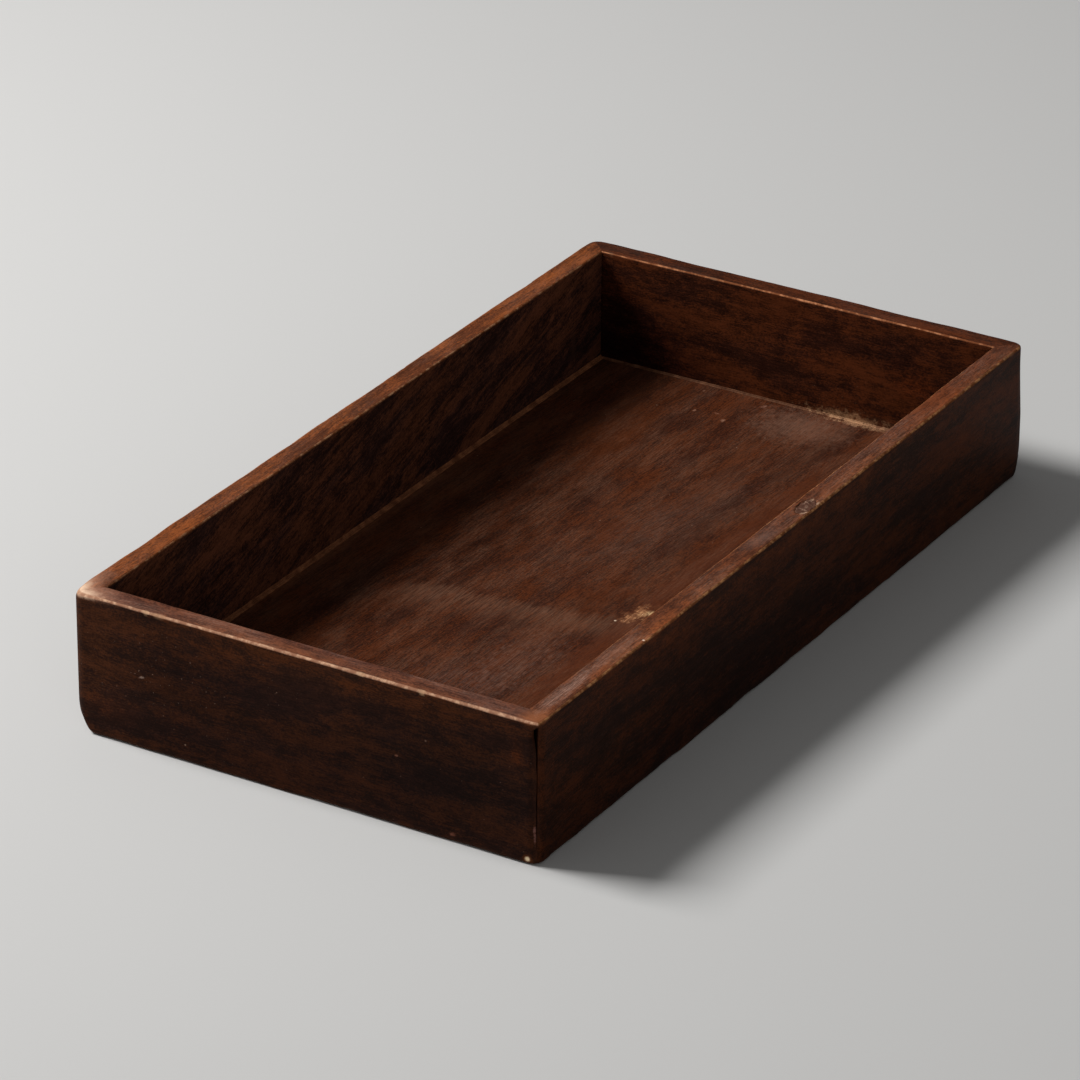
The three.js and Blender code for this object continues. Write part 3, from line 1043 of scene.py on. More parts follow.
@dataclass(frozen=True)
class Speckle(Mark):
    """A sprinkling of fine pale specks, which lie at one pitch and have one size, both in millimetres."""

    pitch: float = 2.2
    size: float = 0.28
    share: float = 0.55

    def cover(self, nodes: Nodes, spot: Socket, run: Triple) -> Socket:
        """How strongly the specks lie at each place."""
        inputs = {"Vector": spot, "Pitch": self.pitch, "Size": self.size, "Share": self.share}
        specks = SPECKS.place(nodes, inputs)["Mask"]
        return nodes.math("MULTIPLY", super().cover(nodes, spot, run), specks)


class Finish:
    """A material in the making, with the coordinates that all finishes use."""

    def __init__(self, name: str, specular: float = 0.04) -> None:
        """Starts the material.

        Args:
            name: The material's name.
            specular: How strongly it shines, as the shader's specular level.
        """
        self.material = bpy.data.materials.new(name)
        self.material.use_nodes = True
        self.nodes = Nodes(self.material.node_tree)
        self.shader = self.material.node_tree.nodes["Principled BSDF"]
        self.shader.inputs["Specular IOR Level"].default_value = specular
        place = self.nodes.add("ShaderNodeTexCoord").outputs["Object"]
        self.spot = self.mapped(place, Scale=(1 / MM,) * 3)

    def mapped(self, vector: Socket, **settings: Triple) -> Socket:
        """A vector that is scaled or turned."""
        return self.nodes.add("ShaderNodeMapping", {"Vector": vector, **settings}).outputs[0]

    def turned(self, angle: float) -> Socket:
        """The coordinates turned about the upright axis, so that X runs along a board."""
        return self.mapped(self.spot, Rotation=(0.0, 0.0, -angle))

    def finish(self, colour: Value, roughness: Value, height: Value, relief: float) -> bpy.types.Material:
        """Feeds the shader.

        Args:
            colour: The base colour.
            roughness: The roughness.
            height: The surface's height, in units of relief.
            relief: How high a height of 1 stands, in metres.

        Returns:
            The finished material.
        """
        links = self.material.node_tree.links
        bump = self.nodes.add("ShaderNodeBump", {"Strength": 1.0, "Distance": relief, "Height": height})
        for value, name in ((colour, "Base Color"), (roughness, "Roughness"), (bump.outputs[0], "Normal")):
            links.new(value, self.shader.inputs[name])
        return self.material


@dataclass(frozen=True)
class WoodTones:
    """The colours that one piece of wood runs through, and how far its grain darkens and lightens them."""

    cool: Tone
    warm: Tone
    pore: Tone = (16, 8, 6)
    darkest: float = 0.45
    lightest: float = 1.65

    def colour(self, nodes: Nodes, grain: bpy.types.bpy_prop_collection) -> Socket:
        """Colours the wood by its grain.

        Args:
            nodes: The material's nodes.
            grain: The outputs of the grain group.

        Returns:
            The colour.
        """
        body = nodes.mix(grain["Warmth"], linear(self.cool), linear(self.warm))
        body = nodes.scale(body, nodes.fade(grain["Tone"], 0.1, 0.9, self.darkest, self.lightest))
        return nodes.mix(nodes.math("MULTIPLY", grain["Pores"], 0.5), body, linear(self.pore))


@dataclass(frozen=True)
class EdgeLine:
    """The line where one arris has lost its stain, on the near end's rim also a painted highlight: its width in
    millimetres, its two colours and its strength.
    """

    edge: str
    width: float
    tone: Tone
    bright: Tone
    strength: float = 0.85

    def lay(self, nodes: Nodes, spot: Socket, under: Socket) -> tuple[Socket, Socket]:
        """Lays the line over a colour.

        Args:
            nodes: The material's nodes.
            spot: Tray coordinates in millimetres.
            under: The colour so far.

        Returns:
            The colour with the line on it, and how strongly the line lies at each place.
        """
        inputs = {"Vector": spot, "Distance": nodes.attribute(self.edge), "Width": self.width}
        worn = WORN_ARRIS_AND_HIGHLIGHT.place(nodes, inputs)
        mask = nodes.math("MULTIPLY", worn["Mask"], self.strength)
        return nodes.mix(mask, under, nodes.mix(worn["Bright"], linear(self.tone), linear(self.bright))), mask


@dataclass(frozen=True)
class StainedWood:
    """The dark stain of one wall, worn through at its edges and dusty on its rim, with a painted highlight on the near
    end's rim and painted shade in the back-left corner.

    Its roughness is given for the faces, for the rim and for worn or dusty places.
    """

    side: Side
    outer: WoodTones
    inner: WoodTones
    rim: WoodTones
    lines: Sequence[EdgeLine]
    lean: Triple = (0.0, 0.0, 0.0)
    inner_lean: Triple = (0.0, 0.0, 0.0)
    flecks: float = 0.3
    inner_flecks: float = 0.3
    streaks: float = 0.3
    grit: float = 0.6
    wave: float = 4.0
    dust: float = 0.35
    dust_tone: Tone = (156, 120, 104)
    speck_tone: Tone = (138, 104, 86)
    bare_tone: Tone = (205, 165, 128)
    roughness: Triple = (0.52, 0.62, 0.8)
    relief: float = 0.06 * MM
    marks: Sequence[Mark] = ()

    def grain(self, finish: Finish, lean: Triple, flecks: float) -> bpy.types.bpy_prop_collection:
        """The grain along the board, leaning off the level and with a blotchy figure."""
        inputs = {
            "Vector": finish.turned(self.side.turn),
            "Lean": lean,
            "Seed": 3.1 * self.side.value,
            "Wave": self.wave,
            "Streaks": self.streaks,
            "Flecks": flecks,
            "Grit": self.grit,
        }
        return GRAIN.place(finish.nodes, inputs)

    def build(self) -> bpy.types.Material:
        """Builds the material."""
        finish = Finish(f"stained_wood_{self.side.label}")
        nodes, spot = finish.nodes, finish.spot
        x, y, z = nodes.split(spot)
        inside_x = nodes.fade(nodes.math("ABSOLUTE", x), INNER_X + 0.6, INNER_X + 0.2)
        inside_y = nodes.fade(nodes.math("ABSOLUTE", y), INNER_Y + 0.6, INNER_Y + 0.2)
        inside = nodes.math("MULTIPLY", inside_x, inside_y)
        outside = self.grain(finish, self.lean, self.flecks)
        inner = self.inner.colour(nodes, self.grain(finish, self.inner_lean, self.inner_flecks))
        colour = nodes.mix(inside, self.outer.colour(nodes, outside), inner)
        top = nodes.fade(z, RIM_Z - 1.3, RIM_Z - 0.3)
        colour = nodes.mix(top, colour, self.rim.colour(nodes, outside))
        amount = nodes.math("MULTIPLY", top, self.dust)
        dust = DUST.place(nodes, {"Vector": finish.turned(self.side.turn), "Amount": amount})["Mask"]
        colour = nodes.mix(dust, colour, linear(self.dust_tone))
        run = (FIBRES_ALONG, FIBRES_ACROSS, FIBRES_ACROSS)
        if not self.side.is_long:
            run = (FIBRES_ACROSS, FIBRES_ALONG, FIBRES_ACROSS)
        for mark in self.marks:
            colour = mark.lay(nodes, spot, run, colour)
        specks = SPECKS.place(nodes, {"Vector": spot, "Pitch": 3.4, "Size": 0.24, "Share": 0.3})["Mask"]
        colour = nodes.mix(nodes.math("MULTIPLY", specks, 0.35), colour, linear(self.speck_tone))
        worn = dust
        for line in self.lines:
            colour, mask = line.lay(nodes, spot, colour)
            worn = nodes.math("MAXIMUM", worn, mask)
        colour = nodes.mix(nodes.math("MULTIPLY", nodes.attribute("bare"), 0.8), colour, linear(self.bare_tone))
        face, rim, bare = self.roughness
        roughness = nodes.between(worn, nodes.between(top, face, rim), bare)
        return finish.finish(colour, roughness, outside["Height"], self.relief)


@dataclass(frozen=True)
class PanelWood:
    """The reddish wood of the tray's floor, with its grey film, its tide mark and its scuff.

    Its roughness is given for clean and for dusty places.
    """

    tones: WoodTones
    figure_tone: Tone = (104, 64, 44)
    tide_tone: Tone = (122, 86, 66)
    dust: float = 0.42
    dust_tone: Tone = (126, 88, 68)
    speck_tone: Tone = (190, 156, 130)
    roughness: tuple[float, float] = (0.55, 0.8)
    relief: float = 0.05 * MM
    marks: Sequence[Mark] = ()

    def tide(self, nodes: Nodes, spot: Socket) -> Socket:
        """Draws the dried edge of a spill that once stood at the near end, sharp on its far side."""
        x, y, _ = nodes.split(spot)
        wobble = nodes.swing(nodes.vector("MULTIPLY", spot, (0.05, 0.09, 0.0)), 7.0, 4.0, 0.6)
        edge = nodes.math("ADD", nodes.math("MULTIPLY_ADD", y, -0.16, -30.0), wobble)
        fringe = nodes.swing(nodes.vector("MULTIPLY", spot, (0.02, 0.9, 0.0)), 10.0, 3.0, 0.6)
        past = nodes.math("ADD", nodes.math("SUBTRACT", edge, x), fringe)
        band = nodes.math("MULTIPLY", nodes.fade(past, -2.5, 4.0), nodes.fade(past, 26.0, 5.0))
        span = nodes.math("MULTIPLY", nodes.fade(y, 58.0, 44.0), nodes.fade(y, -50.0, -34.0))
        streaky = nodes.noise(nodes.vector("MULTIPLY", spot, (0.08, 1.9, 0.0)), 3.0, 0.65)
        return nodes.math("MULTIPLY", nodes.math("MULTIPLY", band, span), nodes.fade(streaky, 0.36, 0.64, 0.12, 1.0))

    def build(self) -> bpy.types.Material:
        """Builds the material."""
        finish = Finish("panel_wood")
        nodes, spot = finish.nodes, finish.spot
        figures = {"Bands": 0.25, "Streaks": 0.2, "Threads": 1.0, "Flecks": 0.3, "Grit": 0.95, "Wave": 3.0}
        grain = GRAIN.place(nodes, {"Vector": spot, "Lean": (-0.07, 0.0, 0.0), "Seed": 17.0, **figures})
        colour = self.tones.colour(nodes, grain)
        figure = finish.mapped(spot, Rotation=(0.0, 0.0, math.radians(17)), Scale=(0.010, 0.10, 0.0))
        sweep = nodes.fade(nodes.noise(figure, 3.0, 0.55), 0.42, 0.72)
        sweep = nodes.math("MULTIPLY", sweep, nodes.fade(nodes.split(spot)[0], -20.0, 60.0))
        colour = nodes.mix(nodes.math("MULTIPLY", sweep, 0.22), colour, linear(self.figure_tone))
        run = (0.08, FIBRES_ACROSS, FIBRES_ACROSS)
        for mark in self.marks:
            colour = mark.lay(nodes, spot, run, colour)
        colour = nodes.mix(nodes.math("MULTIPLY", self.tide(nodes, spot), 0.5), colour, linear(self.tide_tone))
        dust = DUST.place(nodes, {"Vector": spot, "Amount": self.dust})["Mask"]
        colour = nodes.mix(dust, colour, linear(self.dust_tone))
        specks = SPECKS.place(nodes, {"Vector": spot, "Pitch": 5.0, "Size": 0.3, "Share": 0.3})["Mask"]
        colour = nodes.mix(nodes.math("MULTIPLY", specks, 0.5), colour, linear(self.speck_tone))
        roughness = nodes.between(nodes.math("MULTIPLY", dust, 2.0), *self.roughness)
        return finish.finish(colour, roughness, grain["Height"], self.relief)


@dataclass(frozen=True)
class GrittyPaste:
    """A dried paste, such as old glue or filler: matt, crumbly and stained unevenly."""

    name: str
    dark: Tone
    pale: Tone
    pitch: float = 2.2
    contrast: tuple[float, float] = (0.32, 0.7)
    roughness: tuple[float, float] = (0.75, 0.95)
    relief: float = 0.3 * MM
    marks: Sequence[Mark] = ()

    def build(self) -> bpy.types.Material:
        """Builds the material."""
        finish = Finish(self.name)
        nodes = finish.nodes
        scale = 1 / self.pitch
        lumps = nodes.noise(nodes.vector("MULTIPLY", finish.spot, (scale,) * 3), 4.0, 0.7)
        colour = nodes.mix(nodes.fade(lumps, *self.contrast), linear(self.dark), linear(self.pale))
        for mark in self.marks:
            colour = mark.lay(nodes, finish.spot, (FIBRES_ACROSS,) * 3, colour)
        roughness = nodes.fade(lumps, 0.2, 0.8, *self.roughness)
        return finish.finish(colour, roughness, lumps, self.relief)


@dataclass(frozen=True)
class PlainWood:
    """Unstained wood that never saw the light, such as a hidden spline."""

    name: str
    tones: WoodTones
    roughness: tuple[float, float] = (0.65, 0.8)
    relief: float = 0.05 * MM

    def build(self) -> bpy.types.Material:
        """Builds the material."""
        finish = Finish(self.name)
        upright = finish.mapped(finish.spot, Rotation=(0.0, math.pi / 2, 0.0))
        grain = GRAIN.place(finish.nodes, {"Vector": upright, "Seed": 5.0})
        colour = self.tones.colour(finish.nodes, grain)
        roughness = finish.nodes.fade(grain["Tone"], 0.2, 0.8, *self.roughness)
        return finish.finish(colour, roughness, grain["Height"], self.relief)


@dataclass
class GlueBead:
    """The ragged bead of old glue and dirt along one wall's foot, swept and strewn by geometry nodes."""

    side: Side
    sizes: TraySizes
    leg: float = 1.4 * MM
    unevenness: float = 0.25
    pitch: float = 0.8 * MM
    crumbs: float = 8000.0
    crumb_size: float = 0.22 * MM
    spill: Sequence[tuple[float, float, int]] = ()
    sunk: float = 0.15 * MM
    end_gap: float = 0.1 * MM

    INPUTS = (
        ("Leg", "Float"),
        ("Unevenness", "Float"),
        ("Pitch", "Float"),
        ("Crumbs", "Float"),
        ("Crumb Size", "Float"),
        ("Seed", "Int"),
        ("Finish", "Material"),
    )

    @classmethod
    def tree(cls) -> bpy.types.NodeTree:
        """Builds the node tree, once: a coved profile swept along a line, with crumbs stuck to it."""
        found = bpy.data.node_groups.get("glue_bead")
        if found:
            return found
        tree = bpy.data.node_groups.new("glue_bead", "GeometryNodeTree")
        tree.interface.new_socket(name="Path", in_out="INPUT", socket_type="NodeSocketGeometry")
        for label, kind in cls.INPUTS:
            tree.interface.new_socket(name=label, in_out="INPUT", socket_type=f"NodeSocket{kind}")
        tree.interface.new_socket(name="Bead", in_out="OUTPUT", socket_type="NodeSocketGeometry")
        nodes = Nodes(tree)
        given = nodes.add("NodeGroupInput").outputs
        place = nodes.add("GeometryNodeInputPosition").outputs[0]
        shift = nodes.join(given["Seed"], 0.0, 0.0)

        def lumps(pitch: float, detail: float) -> Socket:
            """Noise on the bead, from -1 to 1."""
            grid = nodes.vector("ADD", nodes.vector("MULTIPLY", place, (1 / pitch,) * 3), shift)
            return nodes.swing(grid, 1.0, detail, 0.6)

        path = nodes.add("GeometryNodeMeshToCurve", {"Mesh": given["Path"]}).outputs[0]
        even = {"Curve": path, "Length": given["Pitch"]}
        path = nodes.add("GeometryNodeResampleCurve", even, mode="LENGTH").outputs[0]
        path = nodes.add("GeometryNodeSetCurveNormal", {"Curve": path}, mode="Z_UP").outputs[0]
        swell = nodes.math("MULTIPLY_ADD", lumps(6 * MM, 3.0), given["Unevenness"], 1.0)
        radius = nodes.math("MULTIPLY", nodes.math("MAXIMUM", swell, 0.35), given["Leg"])
        quarter = {"Resolution": 9, "Radius": 1.0, "Start Angle": -math.pi / 2, "Sweep Angle": math.pi / 2}
        arc = nodes.add("GeometryNodeCurveArc", {**quarter, "Connect Center": True}).outputs[0]
        across, up, _ = nodes.split(place)
        wide, tall = nodes.math("MULTIPLY", across, across), nodes.math("MULTIPLY", up, up)
        cove = nodes.math("ABSOLUTE", nodes.math("SUBTRACT", wide, tall))
        cove = nodes.math("MULTIPLY_ADD", nodes.math("POWER", cove, 1.3), 0.5, 0.5)
        arc = nodes.add("GeometryNodeSetPosition", {"Geometry": arc, "Position": nodes.scale(place, cove)}).outputs[0]
        swept = {"Curve": path, "Profile Curve": arc, "Scale": radius, "Fill Caps": True}
        sweep = nodes.add("GeometryNodeCurveToMesh", swept)
        normal = nodes.add("GeometryNodeInputNormal").outputs[0]
        push = nodes.scale(normal, nodes.math("MULTIPLY", lumps(0.9 * MM, 2.0), 0.08 * MM))
        bead = nodes.add("GeometryNodeSetPosition", {"Geometry": sweep.outputs[0], "Offset": push}).outputs[0]
        strewn = {"Mesh": bead, "Density": given["Crumbs"], "Seed": given["Seed"]}
        points = nodes.add("GeometryNodeDistributePointsOnFaces", strewn)
        spread = {"Min": 0.35, "Max": 1.3, "Seed": given["Seed"]}
        size = nodes.add("FunctionNodeRandomValue", spread, data_type="FLOAT")
        size = nodes.math("MULTIPLY", size.outputs["Value"], given["Crumb Size"])
        spread = {"Min": (0.0,) * 3, "Max": (WHOLE_TURN,) * 3}
        turn = nodes.add("FunctionNodeRandomValue", spread, data_type="FLOAT_VECTOR")
        crumb = nodes.add("GeometryNodeMeshIcoSphere", {"Radius": 1.0, "Subdivisions": 1}).outputs[0]
        joined = nodes.add("GeometryNodeJoinGeometry")
        tree.links.new(bead, joined.inputs[0])
        for holder in (points.outputs[0], given["Path"]):
            inputs = {"Points": holder, "Instance": crumb, "Rotation": turn.outputs["Value"], "Scale": size}
            tree.links.new(nodes.add("GeometryNodeInstanceOnPoints", inputs).outputs[0], joined.inputs[0])
        solid = nodes.add("GeometryNodeRealizeInstances", {"Geometry": joined.outputs[0]}).outputs[0]
        dressed = nodes.add("GeometryNodeSetMaterial", {"Geometry": solid, "Material": given["Finish"]}).outputs[0]
        nodes.add("NodeGroupOutput", {"Bead": dressed})
        return tree

    def spilled(self) -> list[Triple]:
        """Places the loose crumbs on the floor, thickest at the bead."""
        random = np.random.default_rng(40 + self.side.value)
        rows = []
        for start, end, count in self.spill:
            along, away = random.uniform(start, end, count), random.exponential(2.6 * MM, count)
            up = np.full(count, self.sizes.panel_top - 0.02 * MM)
            rows.append(np.stack([along, self.sizes.wall + 0.8 * MM + np.minimum(away, 14 * MM), up], 1))
        return [tuple(p) for p in self.sizes.place(self.side, np.concatenate(rows))] if rows else []

    def build(self, finish: bpy.types.Material) -> bpy.types.Object:
        """Sweeps the bead from mitre to mitre.

        Args:
            finish: The old glue's material.

        Returns:
            The bead's object, a plain mesh.
        """
        half = self.sizes.run(self.side) / 2 - self.sizes.wall - self.end_gap
        foot = (self.sizes.wall - self.sunk, self.sizes.panel_top - self.sunk)
        ends = self.sizes.place(self.side, np.array([(half, *foot), (-half, *foot)]))
        line = bpy.data.meshes.new("bead_path")
        line.from_pydata([*[tuple(p) for p in ends], *self.spilled()], [(0, 1)], [])
        holder = bpy.data.objects.new("bead_path", line)
        bpy.context.scene.collection.objects.link(holder)
        modifier = holder.modifiers.new("glue_bead", "NODES")
        modifier.node_group = self.tree()
        values = (self.leg, self.unevenness, self.pitch, self.crumbs, self.crumb_size, 5 + 7 * self.side.value, finish)
        items = modifier.node_group.interface.items_tree
        sockets = {item.name: item.identifier for item in items if item.in_out == "INPUT"}
        for (label, _), value in zip(self.INPUTS, values):
            modifier[sockets[label]] = value
        holder.update_tag()
        graph = bpy.context.evaluated_depsgraph_get()
        mesh = bpy.data.meshes.new_from_object(holder.evaluated_get(graph))
        bpy.data.objects.remove(holder)
        mesh.name = f"{self.side.label}_old_glue"
        piece = bpy.data.objects.new(mesh.name, mesh)
        bpy.context.scene.collection.objects.link(piece)
        dress(piece, "old_glue", f"{self.side.label}_glue_bead")
        return piece


@dataclass(frozen=True)
class Viewpoint:
    """The camera, at the photograph's viewing angle."""

    place: Triple = (-1904.3 * MM, -1116.0 * MM, 1121.7 * MM)
    azimuth: float = -59.332
    elevation: float = 26.411
    roll: float = 0.395
    lens: float = 201.71
    sensor: float = 36.0

    def build(self) -> None:
        """Makes the camera and hands it to the scene."""
        turn, tilt, roll = (math.radians(a) for a in (self.azimuth, self.elevation, self.roll))
        back = Vector((math.sin(turn) * math.cos(tilt), -math.cos(turn) * math.cos(tilt), math.sin(tilt)))
        level = Vector((0, 0, 1)).cross(back).normalized()
        upright = back.cross(level)
        right = level * math.cos(roll) + upright * math.sin(roll)
        up = upright * math.cos(roll) - level * math.sin(roll)
        camera = bpy.data.cameras.new("camera")
        camera.lens = self.lens
        camera.sensor_width = self.sensor
        camera.clip_start, camera.clip_end = 0.1, 50
        holder = bpy.data.objects.new("camera", camera)
        bpy.context.scene.collection.objects.link(holder)
        holder.matrix_world = Matrix.Translation(self.place) @ Matrix((right, up, back)).transposed().to_4x4()
        bpy.context.scene.camera = holder


@dataclass(frozen=True)
class Softbox:
    """A square area lamp that is aimed at the middle of the tray."""

    name: str
    towards: Triple
    distance: float
    size: float
    power: float

    def build(self) -> None:
        """Hangs the lamp in its place."""
        lamp = bpy.data.lights.new(self.name, "AREA")
        lamp.shape, lamp.size, lamp.energy = "SQUARE", self.size, self.power
        holder = bpy.data.objects.new(self.name, lamp)
        bpy.context.scene.collection.objects.link(holder)
        direction = Vector(self.towards).normalized()
        holder.location = direction * self.distance
        holder.rotation_mode = "QUATERNION"
        holder.rotation_quaternion = direction.to_track_quat("Z", "Y")


@dataclass(frozen=True)
class Studio:
    """The pale floor, the lamps and the soft light all round."""

    floor_tone: Tone = (205, 204, 202)
    floor_roughness: float = 0.9
    half: float = 5.0
    world_strength: float = 0.13
    lamps: Sequence[Softbox] = (
        Softbox("key_softbox", (-0.24, 0.85, 1.0), 2.2, 0.7, 52.0),
        Softbox("fill_softbox", (-0.75, -0.6, 0.3), 2.6, 1.4, 7.0),
    )

    def build(self) -> None:
        """Builds the floor, the lamps and the world, and sets the plain view transform."""
        corners = np.array([(-1, -1, 0), (1, -1, 0), (1, 1, 0), (-1, 1, 0)]) * self.half
        floor = mesh_object("studio_floor", corners, [(0, 1, 2, 3)])
        material = bpy.data.materials.new("studio_floor")
        material.use_nodes = True
        shader = material.node_tree.nodes["Principled BSDF"]
        shader.inputs["Base Color"].default_value = linear(self.floor_tone)
        shader.inputs["Roughness"].default_value = self.floor_roughness
        floor.data.materials.append(material)
        for lamp in self.lamps:
            lamp.build()
        world = bpy.data.worlds.new("studio")
        world.use_nodes = True
        background = world.node_tree.nodes["Background"]
        background.inputs["Color"].default_value = (1, 1, 1, 1)
        background.inputs["Strength"].default_value = self.world_strength
        bpy.context.scene.world = world
        bpy.context.scene.view_settings.view_transform = "Standard"


CORNERS = {
    Corner.NEAR_RIGHT: CornerWear(
        (1.6 * MM, 4 * MM), 0.1 * MM, ((50 * MM, 0.1), (56 * MM, 0.1), (59 * MM, 0.6)),
        seam=(
            (4 * MM, 0.0),
            (12 * MM, 0.4 * MM),
            (40 * MM, 0.55 * MM),
            (49 * MM, 0.8 * MM),
            (54 * MM, 1.6 * MM),
            (57.8 * MM, 2.7 * MM),
            (59.0 * MM, 1.0 * MM),
            (59.6 * MM, 0.0),
        ),
        split=0.85,
    ),
    Corner.FAR_RIGHT: CornerWear((4.6 * MM, 15 * MM), 0.2 * MM, ((0.0, 0.75), (28 * MM, 0.75), (54 * MM, 0.1))),
    Corner.FAR_LEFT: CornerWear((3.5 * MM, 8 * MM), 0.6 * MM, ((0.0, 0.1),)),
    Corner.NEAR_LEFT: CornerWear((5.6 * MM, 16 * MM), 1.8 * MM, ((0.0, 0.15),)),
}

OUTSIDE = WoodTones(cool=(41, 21, 14), warm=(57, 28, 13), darkest=0.64, lightest=1.5)
INSIDE = WoodTones(cool=(56, 28, 17), warm=(84, 38, 16))
FOOT_LINE = EdgeLine("foot_outer", 0.8, (58, 34, 22), (96, 66, 48), 0.4)
UPRIGHT_LINE = EdgeLine("upright", 1.4, (60, 32, 18), (84, 48, 28), 0.15)
SEAM_SHADE = Mark((-200.4, -105.8, 30), (2.2, 2.2, 30), (16, 9, 7), 0.9, 0.8, 0.4)
NEAR_TIP = Mark((-196, -101.5, 61), (10, 9, 2.4), (166, 100, 62), 0.6, 1.0, 0.4)

